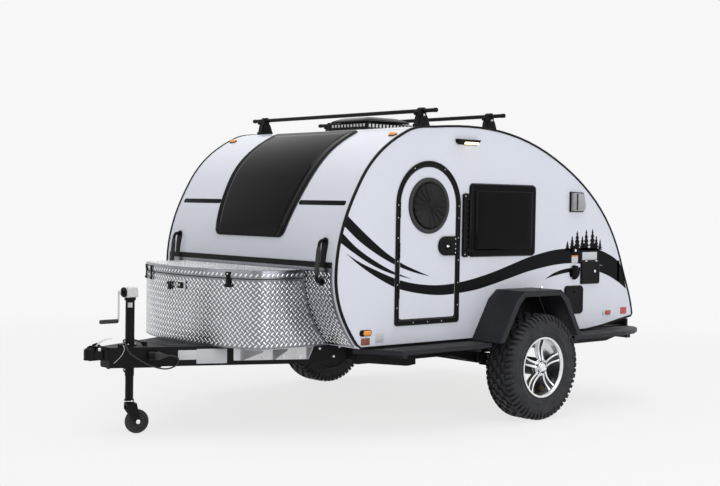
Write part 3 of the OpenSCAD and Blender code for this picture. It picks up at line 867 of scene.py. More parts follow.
def smooth_faces(mesh: bpy.types.Mesh) -> None:
    """Sets every face to smooth shading."""
    mesh.polygons.foreach_set("use_smooth", [True] * len(mesh.polygons))


def round_edges(piece: bpy.types.Object, width: float, sharp: float = 32.0, segments: int = 2) -> None:
    """Rounds a piece's sharp edges.

    Args:
        piece: The object.
        width: How wide the rounding is.
        sharp: The angle above which an edge is rounded, in degrees.
        segments: How many steps the rounding has.
    """
    soften = piece.modifiers.new("rounding", "BEVEL")
    soften.width = width
    soften.segments = segments
    soften.limit_method = "ANGLE"
    soften.angle_limit = math.radians(sharp)
    soften.harden_normals = True


def dress(node: str, finish: Finish, bevel: float = 0.0012, sharp: float = 28.0) -> None:
    """Gives a CAD node its finish, joined faces and rounded edges.

    Args:
        node: The node's name.
        finish: Its surface.
        bevel: The width that its edges are rounded to.
        sharp: The angle above which an edge is rounded, in degrees.
    """
    piece = frame["nodes"][node]
    mesh = piece.data
    mesh.materials.clear()
    mesh.materials.append(finish.make())
    normals = mesh.attributes.get("custom_normal")
    if normals:
        mesh.attributes.remove(normals)
    smooth_faces(mesh)
    weld = piece.modifiers.new("joined", "WELD")
    weld.merge_threshold = 0.00002
    round_edges(piece, bevel, sharp)


@dataclass(frozen=True)
class Outline:
    """The body's side outline, as knots from the front bottom corner over the roof."""

    knots: tuple[tuple[float, float, float], ...] = (
        (1.443, 0.557, 50), (1.64, 1.02, 91), (1.45, 1.61, 121), (1.06, 1.94, 155),
        (0.775, 1.985, 175), (-0.46, 1.79, 206), (-1.215, 1.045, 249), (-1.365, 0.635, 262),
    )
    share: float = 0.36
    guard_top: float = 1.07

    @property
    def end(self) -> float:
        """The outline's last place."""
        return len(self.knots) - 1.0

    def _handles(self, span: int) -> list[Vector]:
        """The four points that steer the curve between two knots.

        Args:
            span: The span's number.

        Returns:
            The four points.
        """
        a, b = self.knots[span], self.knots[span + 1]
        start, stop = Vector(a[:2]), Vector(b[:2])
        reach = self.share * (stop - start).length
        way_a = Vector((math.cos(math.radians(a[2])), math.sin(math.radians(a[2]))))
        way_b = Vector((math.cos(math.radians(b[2])), math.sin(math.radians(b[2]))))
        return [start, start + reach * way_a, stop - reach * way_b, stop]

    def point(self, s: float, out: float = 0.0) -> Vector:
        """A place on the outline, ahead of the axle and up.

        Args:
            s: The place, counted in knots.
            out: How far off the surface it is.

        Returns:
            The place in the side view.
        """
        span = min(int(s), len(self.knots) - 2)
        t, h = s - span, self._handles(span)
        here = (1 - t) ** 3 * h[0] + 3 * (1 - t) ** 2 * t * h[1] + 3 * (1 - t) * t * t * h[2] + t ** 3 * h[3]
        slope = (1 - t) ** 2 * (h[1] - h[0]) + 2 * (1 - t) * t * (h[2] - h[1]) + t * t * (h[3] - h[2])
        slope.normalize()
        return here + out * Vector((slope.y, -slope.x))

    def spots(self, s0: float, s1: float, per_knot: int = 14) -> list[float]:
        """Places from s0 to s1, evenly counted."""
        count = max(2, math.ceil((s1 - s0) * per_knot))
        return [s0 + (s1 - s0) * k / count for k in range(count + 1)]

    def on_skin(self, s: float, y: float, out: float = 0.0) -> Vector:
        """A place on the body's skin, in the row frame."""
        p = self.point(s, out)
        return Vector((ahead(p.x), y, p.y))

    def around(self, out: float) -> list[Vector]:
        """The whole outline with the underside, anticlockwise from the left-hand side.

        Args:
            out: How far outside the outline it runs.

        Returns:
            Points ahead of the axle and up.
        """
        upper = [self.point(s, out) for s in self.spots(0.06, self.end - 0.04, 12)]
        under = [
            (-1.345, 0.634), (-1.197, 0.612), (-0.995, 0.578), (-0.8, 0.557), (0.0, 0.557), (1.3, 0.557),
            (1.425, 0.557)
        ]
        return upper + [Vector((x, z - out)) for x, z in under]


BODY_LINE = Outline()

# ---- Studio -----------------------------------------------------------------------------


@dataclass
class Studio:
    """The camera, the pale floor and the soft lights."""

    lens: float = 62.5
    stand: Point3 = (5.9175, 6.8047, 1.4654)
    heading: float = -2.291919
    dip: float = 0.031356
    roll: float = 0.016619
    backdrop: float = 0.936
    floor_radius: float = 16.0
    low_sky: float = 0.2
    high_sky: float = 0.7
    floor_share: float = 0.8

    def build(self) -> None:
        """Makes the camera, the floor, the sky and the lamps."""
        self.camera()
        self.floor()
        self.sky()
        self.lamps()

    def camera(self) -> None:
        """Stands the camera ahead of the trailer on its left-hand side."""
        data = bpy.data.cameras.new("camera")
        data.lens = self.lens
        data.sensor_width = 36.0
        data.clip_end = 200.0
        way = Vector((
            math.cos(self.heading) * math.cos(self.dip),
            math.sin(self.heading) * math.cos(self.dip),
            -math.sin(self.dip),
        ))
        right = way.cross(Vector((0, 0, 1))).normalized()
        up = right.cross(way)
        c, s = math.cos(self.roll), math.sin(self.roll)
        turned_right, turned_up = c * right + s * up, c * up - s * right
        camera = bpy.data.objects.new("camera", data)
        bpy.context.scene.collection.objects.link(camera)
        camera.matrix_world = Matrix.Translation(self.stand) @ Matrix(
            (turned_right, turned_up, -way)
        ).transposed().to_4x4()
        bpy.context.scene.camera = camera

    def seen(self, tree: bpy.types.NodeTree) -> bpy.types.NodeSocket:
        """Adds the test for a ray that shows the backdrop.

        Args:
            tree: The node tree of the floor or of the sky.

        Returns:
            A socket that is 1 for the rays of the camera, of mirrors and of glass.
        """
        path = tree.nodes.new("ShaderNodeLightPath")
        either = tree.nodes.new("ShaderNodeMath")
        every = tree.nodes.new("ShaderNodeMath")
        either.operation = every.operation = "MAXIMUM"
        tree.links.new(path.outputs["Is Camera Ray"], either.inputs[0])
        tree.links.new(path.outputs["Is Glossy Ray"], either.inputs[1])
        tree.links.new(either.outputs[0], every.inputs[0])
        tree.links.new(path.outputs["Is Transmission Ray"], every.inputs[1])
        return every.outputs[0]

    def floor(self) -> None:
        """A pale floor that keeps shadows and fades into the backdrop."""
        shape = Shape()
        shape.loft(
            [
                [(r * math.cos(math.tau * k / 64), r * math.sin(math.tau * k / 64), 0.0) for k in range(64)]
                for r in (0.5, 4.0, 9.0, self.floor_radius)
            ]
        )
        mesh = bpy.data.meshes.new("floor")
        mesh.from_pydata(
            [tuple(p) for p in shape.points], [],
            [f for f in shape.faces if len(f) == 4] + [tuple(range(64))]
        )
        floor = bpy.data.objects.new("floor", mesh)
        bpy.context.scene.collection.objects.link(floor)
        graph = Graph("pale_floor")
        graph.shade(Base_Color=(0.86, 0.86, 0.86), Roughness=0.9)
        clear = graph.add("ShaderNodeBsdfTransparent")
        reach = graph.add("ShaderNodeVectorMath", operation="LENGTH")
        graph.feed(reach.inputs[0], graph.place)
        fade = graph.spread(reach.outputs["Value"], self.floor_share, 1.0, (3.2, 8.0))
        mix = graph.add("ShaderNodeMixShader")
        graph.feed(mix.inputs[0], graph.sum("MULTIPLY", fade, self.seen(graph.tree)))
        graph.tree.links.new(graph.shader.outputs[0], mix.inputs[1])
        graph.tree.links.new(clear.outputs[0], mix.inputs[2])
        graph.tree.links.new(mix.outputs[0], graph.tree.nodes["Material Output"].inputs["Surface"])
        mesh.materials.append(graph.material)

    def sky(self) -> None:
        """An even sky that shows as the backdrop and lights softly."""
        world = bpy.data.worlds.new("sky")
        world.use_nodes = True
        bpy.context.scene.world = world
        tree = world.node_tree
        shine = tree.nodes["Background"]
        mix = tree.nodes.new("ShaderNodeMix")
        mix.inputs[3].default_value = self.backdrop
        place = tree.nodes.new("ShaderNodeTexCoord")
        split = tree.nodes.new("ShaderNodeSeparateXYZ")
        climb = tree.nodes.new("ShaderNodeMapRange")
        tree.links.new(place.outputs["Generated"], split.inputs[0])
        tree.links.new(split.outputs["Z"], climb.inputs["Value"])
        for socket, value in (
            ("From Min", 0.05), ("From Max", 0.75), ("To Min", self.low_sky), ("To Max", self.high_sky)
        ):
            climb.inputs[socket].default_value = value
        tree.links.new(climb.outputs[0], mix.inputs[2])
        tree.links.new(self.seen(tree), mix.inputs[0])
        tree.links.new(mix.outputs[0], shine.inputs["Strength"])
        shine.inputs["Color"].default_value = (1.0, 1.0, 1.0, 1.0)

    def lamp(self, name: str, spot: Point3, aim: Point3, size: Point2, power: float) -> None:
        """A large soft lamp.

        Args:
            name: The lamp's name.
            spot: Where it hangs.
            aim: What it shines at.
            size: Its width and height.
            power: Its power in watts.
        """
        data = bpy.data.lights.new(name, "AREA")
        data.shape = "RECTANGLE"
        data.size, data.size_y = size
        data.energy = power
        lamp = bpy.data.objects.new(name, data)
        bpy.context.scene.collection.objects.link(lamp)
        way = Vector(aim) - Vector(spot)
        lamp.matrix_world = Matrix.Translation(spot) @ way.to_track_quat("-Z", "Y").to_matrix().to_4x4()

    def lamps(self) -> None:
        """A ceiling of light, a wall of it on the left and a smaller one ahead."""
        self.lamp("ceiling", (0.3, 0.5, 6.0), (0.0, 0.0, 0.0), (7.0, 6.0), 188.0)
        self.lamp("left_wall", (-1.0, 8.0, 3.2), (-0.3, 0.0, 1.1), (8.0, 4.5), 188.0)
        self.lamp("front_wall", (8.0, -1.5, 3.4), (0.5, 0.0, 1.1), (5.0, 4.0), 26.0)


# ---- Cords ------------------------------------------------------------------------------


@dataclass
class Cords:
    """The light cable and the breakaway wire on the tongue, along their routes."""

    cable_radius: float = 0.005
    wire_radius: float = 0.0016
    cable_route: tuple[Rgb, ...] = (
        (2.437, 0.029, 0.57), (2.44, 0.005, 0.572), (2.447, -0.02, 0.579), (2.463, -0.042, 0.585),
        (2.487, -0.054, 0.587), (2.513, -0.052, 0.587), (2.535, -0.038, 0.585), (2.549, -0.016, 0.581),
        (2.558, 0.009, 0.576), (2.566, 0.034, 0.57), (2.577, 0.058, 0.567), (2.589, 0.08, 0.565),
        (2.598, 0.101, 0.56), (2.597, 0.113, 0.544), (2.582, 0.118, 0.522), (2.563, 0.126, 0.505),
        (2.541, 0.135, 0.488), (2.517, 0.146, 0.472), (2.492, 0.157, 0.457), (2.466, 0.169, 0.444),
        (2.44, 0.182, 0.433), (2.413, 0.195, 0.425), (2.386, 0.208, 0.421), (2.36, 0.221, 0.424),
        (2.337, 0.233, 0.434), (2.321, 0.243, 0.45), (2.315, 0.25, 0.47), (2.323, 0.252, 0.489),
        (2.343, 0.248, 0.501), (2.364, 0.239, 0.505), (2.39, 0.227, 0.505),
    )
    wire_route: tuple[Rgb, ...] = (
        (2.612, 0.07, 0.566), (2.611, 0.076, 0.567), (2.611, 0.082, 0.567), (2.61, 0.088, 0.565),
        (2.61, 0.093, 0.561), (2.61, 0.097, 0.555), (2.611, 0.099, 0.547), (2.613, 0.099, 0.538),
        (2.617, 0.097, 0.527), (2.622, 0.094, 0.516), (2.628, 0.091, 0.506), (2.635, 0.088, 0.496),
        (2.643, 0.084, 0.486), (2.652, 0.08, 0.477), (2.661, 0.075, 0.468), (2.668, 0.071, 0.461),
    )
    rail_angle: float = 24.87

    def build(self) -> None:
        plug = self.plug()
        self.gland()
        path = self.smooth(self.cable_route)
        cable = make_piece(
            "plug_cable_sleeve", Shape().tube(path, self.cable_radius, 12), RUBBER, replaces=["plug_cable"]
        )
        tuple(path[0])
        self.length(path)
        [tuple(p) for p in path]
        path = self.smooth(self.wire_route)
        wire = make_piece(
            "breakaway_wire", Shape().tube(path, self.wire_radius, 8), ZINC, replaces=["breakaway_cable"]
        )
        tuple(path[0])
        self.length(path)
        [tuple(p) for p in path]

    def smooth(self, route: Sequence[Point3]) -> list[Vector]:
        """The route in the row frame, rounded between its points.

        Args:
            route: Its points, ahead of the axle.

        Returns:
            The points of the smooth route.
        """
        count, points = len(route), []
        knots = [Vector((ahead(x), y, z)) for x, y, z in route]
        for k in range(count - 1):
            a, b, c, d = knots[max(0, k - 1)], knots[k], knots[k + 1], knots[min(count - 1, k + 2)]
            for j in range(4):
                t = j / 4
                points.append(
                    0.5 * (
                        2 * b + (c - a) * t + (
                            2 * a - 5 * b + 4 * c - d
                        ) * t * t + (3 * b - a - 3 * c + d) * t ** 3
                    )
                )
        return [*points, knots[-1]]

    def length(self, path: Sequence[Vector]) -> float:
        """How long a path is."""
        return sum((b - a).length for a, b in zip(path, path[1:]))

    def along_rail(self) -> Vector:
        """The way that the plug points, along the rail's outer face."""
        turn = math.radians(-self.rail_angle)
        return Vector((math.cos(turn), math.sin(turn), 0))

    def plug(self) -> bpy.types.Object:
        """The moulded plug in its holder, with grip rings and a tapered tail.

        Returns:
            The plug's object.
        """
        tail = Vector((ahead(2.39), 0.227, 0.505))
        way = self.along_rail()
        profile = [
            (0.0062, -0.012), (0.01, 0.0), (0.0102, 0.004), (0.0118, 0.005), (0.0118, 0.009),
            (0.0132, 0.01), (0.0132, 0.014), (0.015, 0.015)
        ]
        profile += [
            (0.015, 0.019), (0.0185, 0.024), (0.0262, 0.044), (0.0268, 0.046), (0.0268, 0.056),
            (0.023, 0.058), (0.023, 0.064), (0.0229, 0.092)
        ]
        return make_piece(
            "plug_body", Shape().turned(profile, tail, way, 36), RUBBER, replaces=["trailer_plug"],
            bevel=0.0006
        )

    def gland(self) -> None:
        """The tapered gland that the cable leaves the nose through."""
        profile = [
            (0.01, 0.0), (0.0104, 0.004), (0.0092, 0.006), (0.0094, 0.01), (0.008, 0.012), (0.0082, 0.016),
            (0.0068, 0.018), (0.007, 0.022), (0.0058, 0.026)
        ]
        make_piece(
            "cable_gland", Shape().turned(profile, (ahead(2.437), 0.0365, 0.57), (0, -1, 0), 28), RUBBER,
            bevel=0.0004
        )


# ---- Chequer plate ----------------------------------------------------------------------


@dataclass
class Chequer:
    """Raised lugs in the alternating pattern of chequer plate."""

    pitch: float = 0.0262
    length: float = 0.031
    width: float = 0.0102
    height: float = 0.0016

    def lug(
        self, shape: Shape, u: float, v: float, lean: float,
        place: Callable[[float, float, float], Sequence[float]]
    ) -> None:
        """Adds one lens-shaped lug.

        Args:
            shape: The shape it is added to.
            u: Its middle along the sheet.
            v: Its middle up the sheet.
            lean: Its direction on the sheet, in radians.
            place: Turns sheet places into places.
        """
        c, s = math.cos(lean), math.sin(lean)
        rings = []
        for size, high in ((1.0, -0.0006), (0.86, 0.001), (0.52, self.height)):
            ring = []
            for a, b in ((0.5, 0.0), (0.28, 0.36), (-0.28, 0.36), (-0.5, 0.0), (-0.28, -0.36), (0.28, -0.36)):
                du, dv = a * self.length * (0.5 + size / 2), b * 1.35 * self.width * size
                ring.append(place(u + du * c - dv * s, v + du * s + dv * c, high))
            rings.append(ring)
        shape.loft(rings)

    def cover(
        self,
        u_range: Point2,
        v_range: Point2,
        place: Callable[[float, float, float], Sequence[float]],
        keep: Callable[[float, float], bool] = lambda u, v: True,
    ) -> Shape:
        """Covers a sheet with lugs.

        Args:
            u_range: The sheet's ends along it.
            v_range: Its lower and upper edge.
            place: Turns sheet places into places.
            keep: Whether a lug stands at a place.

        Returns:
            The lugs.
        """
        shape = Shape()
        step = self.pitch / math.sqrt(2)
        margin = self.length * 0.36
        for row in range(math.ceil((v_range[1] - v_range[0]) / step) + 1):
            v = v_range[0] + row * step
            for k in range(math.ceil((u_range[1] - u_range[0]) / step / 2) + 1):
                u = u_range[0] + (2 * k + row % 2) * step
                inside = (
                    u_range[0] + margin <= u <= u_range[1] - margin
                    and v_range[0] + margin <= v <= v_range[1] - margin
                )
                if inside and keep(u, v):
                    self.lug(shape, u, v, math.radians(-45 if row % 2 else 45), place)
        return shape


# ---- Body -------------------------------------------------------------------------------


@dataclass
class Body:
    """The shell, its edge trims, the rock guard and what shows of the inside."""

    chequer: Chequer = field(default_factory=Chequer)
    stripe: float = 1.75
    stripe_half: float = 0.0165
    stripe_runs: tuple[Point2, ...] = ((-0.905, -0.44), (0.44, 0.905))

    def build(self) -> None:
        """Dresses the shell and makes its trims."""
        for node in ("side_wall_left", "side_wall_right"):
            dress(node, WHITE, 0.0008)
        for node in ("front_shell", "roof_shell", "galley_hatch"):
            dress(node, WHITE, 0.0015)
        dress("rock_guard", CHEQUER, 0.0008)
        for node in ("floor_deck", "galley_bulkhead", "galley_counter"):
            dress(node, PLY, 0.0015)
        self.trims()
        self.guard_lugs()
        self.front_stripe()

    def trims(self) -> None:
        """A slim trim folded over the edge of each side wall, and a strip over the guard's top."""
        section = (
            (0.0003, -0.011), (0.004, -0.011), (0.0045, -0.01), (0.0045, 0.003), (0.003, 0.0048),
            (-0.008, 0.005), (-0.0105, 0.0035), (-0.011, 0.0002), (0.0003, 0.0002),
        )
        rings = [[(ahead(p.x), WALL_Y + y, p.y) for p in BODY_LINE.around(out)] for out, y in section]
        shape = Shape().ring_loft(rings, closed=True).both()
        low, high = BODY_LINE.guard_top - 0.002, BODY_LINE.guard_top + 0.052
        strip = []
        for y in (-0.912, 0.912):
            under = [BODY_LINE.on_skin(s, y, 0.0004) for s in BODY_LINE.spots(low, high, 100)]
            over = [BODY_LINE.on_skin(s, y, 0.0072) for s in BODY_LINE.spots(low, high, 100)]
            strip.append(under + over[::-1])
        make_piece(
            "edge_trim_strips", shape.add(Shape().loft(strip)), TRIM, replaces=["edge_trims"], bevel=0.0008
        )

    def guard_lugs(self) -> None:
        """Chequer lugs on the guard over the front's foot."""
        lengths = [0.0]
        spots = BODY_LINE.spots(0.03, 1.06, 60)
        for a, b in zip(spots, spots[1:]):
            lengths.append(lengths[-1] + (BODY_LINE.point(b) - BODY_LINE.point(a)).length)

        def place(u: float, v: float, high: float) -> Sequence[float]:
            """A place on the guard: u to the left, v up along it.

            Args:
                u: The distance to the left.
                v: The length up along the guard.
                high: The distance off the guard.

            Returns:
                The place in the row frame.
            """
            k = min(max(1, sum(1 for length in lengths if length < v)), len(lengths) - 1)
            share = (v - lengths[k - 1]) / (lengths[k] - lengths[k - 1])
            s = spots[k - 1] + share * (spots[k] - spots[k - 1])
            return BODY_LINE.on_skin(s, u, 0.005 + high)

        sides = [
            self.chequer.cover(span, (0.005, lengths[-1] - 0.004), place)
            for span in ((0.5, 0.912), (-0.912, -0.5))
        ]
        low = self.chequer.cover((-0.49, 0.49), (0.005, 0.1), place)
        make_piece("guard_lugs", sides[0].add(sides[1]).add(low), LUG)

    def front_stripe(self) -> None:
        """The dark stripe across the front, on both sides of the window."""
        mid = BODY_LINE.point(self.stripe)
        near = BODY_LINE.point(self.stripe + 0.01)
        rate = 0.01 / (near - mid).length
        shape = Shape()
        for low, high in self.stripe_runs:
            outline = rounded(
                high - low, 2 * self.stripe_half, self.stripe_half * 0.9, 6, ((low + high) / 2, 0.0)
            )
            shape.slab(
                outline, [(0.0, 0.0001), (0.0, 0.0005), (0.0004, 0.0006)],
                lambda u, v, out: BODY_LINE.on_skin(self.stripe + v * rate, u, out),
            )
        make_piece("front_stripe", shape, DECAL)


# ---- Doors ------------------------------------------------------------------------------


@dataclass
class Doors:
    """The arched side doors with their frames, round windows and latches."""

    width: float = 0.585
    foot: float = 0.684
    middle: float = 0.853
    arch: float = 1.461
    corner: float = 0.022
    leaf: float = 0.041
    port: float = 0.184
    pleats: int = 17
    latch_at: Point2 = (0.699, 1.196)

    def build(self) -> None:
        """Makes both doors, the right-hand one as the left's mirror image."""
        for side in Side:
            dress(f"door_{side}", WHITE, 0.0015)
            self.window(side)
            self.latch(side)
        self.frames()
        self.seals()
        self.hinges()

    def outline(self, depth: float) -> list[Point2]:
        """The door's outline drawn in by a depth, anticlockwise from the right of its arch.

        Args:
            depth: How far it is drawn in.

        Returns:
            The outline's points.
        """
        half, r = self.width / 2 - depth, max(0.004, self.corner - depth)
        points = [
            (self.middle + half * math.cos(math.pi * k / 48), self.arch + half * math.sin(math.pi * k / 48))
            for k in range(49)
        ]
        low = self.foot + depth
        for side, start in ((-1, 180), (1, 270)):
            for k in range(9):
                turn = math.radians(start + 90 * k / 8)
                points.append(
                    (self.middle + side * (half - r) + r * math.cos(turn), low + r + r * math.sin(turn))
                )
        return points

    def ring_shape(self, section: Sequence[Point2]) -> Shape:
        """A ring round the door, from its section as pairs of inset and height."""
        return Shape().ring_loft(
            [[on_wall(u, v, high) for u, v in self.outline(depth)] for depth, high in section]
        )

    def frames(self) -> None:
        """The aluminium frames, with a groove along their middle and screws."""
        section = [
            (0.0, 0.0002), (0.0, 0.0075), (0.0025, 0.01), (0.0105, 0.01), (0.0125, 0.0066), (0.02, 0.0066),
            (0.022, 0.01), (0.029, 0.01), (0.0318, 0.0078), (0.0318, 0.0002)
        ]
        make_piece(
            "door_rings", self.ring_shape(section).both(), TRIM, replaces=["door_frames"], bevel=0.0007
        )
        shape = Shape()
        for k, (u, v) in enumerate(self.outline(0.01625)):
            if k in (0, 16, 32, 48):
                shape.screw(on_wall(u, v, 0.0066), (0, 1, 0), 0.0042)
        for z in (0.8, 0.95, 1.1, 1.25, 1.38):
            for x in (self.middle - self.width / 2 + 0.01625, self.middle + self.width / 2 - 0.01625):
                shape.screw(on_wall(x, z, 0.0066), (0, 1, 0), 0.0042)
        for x in (self.middle - 0.13, self.middle, self.middle + 0.13):
            shape.screw(on_wall(x, self.foot + 0.01625, 0.0066), (0, 1, 0), 0.0042)
        make_piece("door_ring_screws", shape.both(), ZINC)

    def seals(self) -> None:
        """Rubber seals in the gap round each leaf."""
        section = [(0.027, -0.03), (0.027, -0.001), (0.032, 0.0015), (0.0362, -0.001), (0.0362, -0.03)]
        make_piece("door_seals", self.ring_shape(section).both(), RUBBER)

    def hinges(self) -> None:
        """Knuckles along the front edge of each door frame."""
        shape = Shape()
        for z in (0.86, 1.12, 1.38):
            for k in range(3):
                low = z + 0.034 * k
                shape.turned(
                    [(0.0068, 0.0), (0.0075, 0.001), (0.0075, 0.031), (0.0068, 0.032)],
                    (ahead(1.1175), WALL_Y + 0.0066, low), (0, 0, 1), 20
                )
        make_piece("door_knuckles", shape.both(), TRIM)

    def window(self, side: Side) -> None:
        """A round window: a stepped ring, a domed pane and a pleated blind behind it.

        Args:
            side: The door's side.
        """
        at = (ahead(self.middle), WALL_Y, self.arch)
        r = self.port
        ring = Shape().turned(
            [
                (r, 0.0004), (r, 0.006), (r - 0.004, 0.0105), (r - 0.01, 0.0125), (r - 0.019, 0.012),
                (r - 0.0235, 0.0085), (r - 0.027, 0.008), (r - 0.029, 0.005), (r - 0.029, 0.0004)
            ],
            at, (0, 1, 0), 96, closed=True,
        )
        lens = Shape().turned(
            [
                (r - 0.0275, 0.004), (r - 0.0275, 0.0078), (r - 0.034, 0.0112), (r - 0.048, 0.0124),
                (0.09, 0.0132), (0.04, 0.0136), (0.0, 0.0137)
            ],
            at, (0, 1, 0), 96
        )
        blind = Shape()
        rings = []
        for radius in (r - 0.04, 0.11, 0.075, 0.045, 0.02):
            ring_points = []
            for k in range(self.pleats * 4):
                turn = math.tau * k / (self.pleats * 4)
                fold = (0.0, 0.5, 1.0, 0.5)[k % 4] * 0.012 * min(1.0, radius / 0.06)
                ring_points.append(
                    (
                        at[0] + radius * math.cos(turn),
                        at[1] + 0.0128 + 0.001 * (1 - radius / r) + fold * 0.42,
                        at[2] + radius * math.sin(turn)
                    )
                )
            rings.append(ring_points)
        blind.loft(rings, caps=False)
        blind.turned([(0.021, 0.0125), (0.021, 0.0155), (0.016, 0.0165), (0.0, 0.0168)], at, (0, 1, 0), 32)
        body = f"door_{side}"
        make_piece(f"port_ring_{side}", side.placed(ring), RUBBER, body, [f"door_port_{side}"], bevel=0.0006)
        make_piece(f"port_lens_{side}", side.placed(lens), GLOSS, body)
        make_piece(f"port_blind_{side}", side.placed(blind), SLEEVE, body, sharp=20)

    def latch(self, side: Side) -> None:
        """A paddle latch: a D-shaped plate, a recess, a paddle and its keyhole.

        Args:
            side: The door's side.
        """
        x, z = self.latch_at
        r, back = 0.064, x - 0.099
        arc = [math.radians(t) for t in range(-84, 85, 8)]
        plate = [
            (back, z - r), (x, z - r), *[(x + r * math.cos(t), z + r * math.sin(t)) for t in arc],
            (x, z + r), (back, z + r)
        ]
        shape = Shape().slab(plate, [(0.0, 0.0005), (0.0, 0.0145), (0.004, 0.0185), (0.01, 0.0192)], on_wall)
        arc = [math.radians(t) for t in range(-90, 91, 10)]
        dish = [
            (x - 0.06, z - 0.038),
            *[(x - 0.005 + 0.038 * math.cos(t), z + 0.038 * math.sin(t)) for t in arc],
            (x - 0.06, z + 0.038)
        ]
        section = ((-0.003, 0.0188), (-0.003, 0.0212), (0.002, 0.0212), (0.004, 0.0188))
        rim = Shape().ring_loft(
            [[on_wall(u, v, high) for u, v in inset(dish, depth)] for depth, high in section]
        )
        paddle = Shape().slab(
            rounded(0.052, 0.034, 0.008, 5, (x - 0.018, z - 0.004)),
            [(0.0, 0.0188), (0.0, 0.0225), (0.003, 0.0242)], on_wall
        )
        bright = Shape().turned(
            [(0.0085, 0.0235), (0.0085, 0.0248), (0.007, 0.0256), (0.003, 0.0256), (0.0022, 0.024)],
            (ahead(x - 0.004), WALL_Y, z - 0.002), (0, 1, 0), 24
        )
        bright.add(
            Shape().slab(
                rounded(0.026, 0.012, 0.005, 4, (x - 0.008, z - 0.002)), [(0.0, 0.0234), (0.001, 0.0246)],
                on_wall
            )
        )
        for du, dv in ((-0.082, 0.046), (-0.082, -0.046), (-0.082, 0.012), (-0.082, -0.02)):
            bright.screw(on_wall(x + du, z + dv, 0.0188), (0, 1, 0), 0.004)
        body = f"door_{side}"
        make_piece(f"latch_plate_{side}", side.placed(shape.add(rim)), TRIM, body, bevel=0.0008)
        make_piece(f"latch_paddle_{side}", side.placed(paddle), GLOSS, body, bevel=0.0006)
        make_piece(f"latch_bright_{side}", side.placed(bright), CHROME, body)


# ---- Windows ----------------------------------------------------------------------------


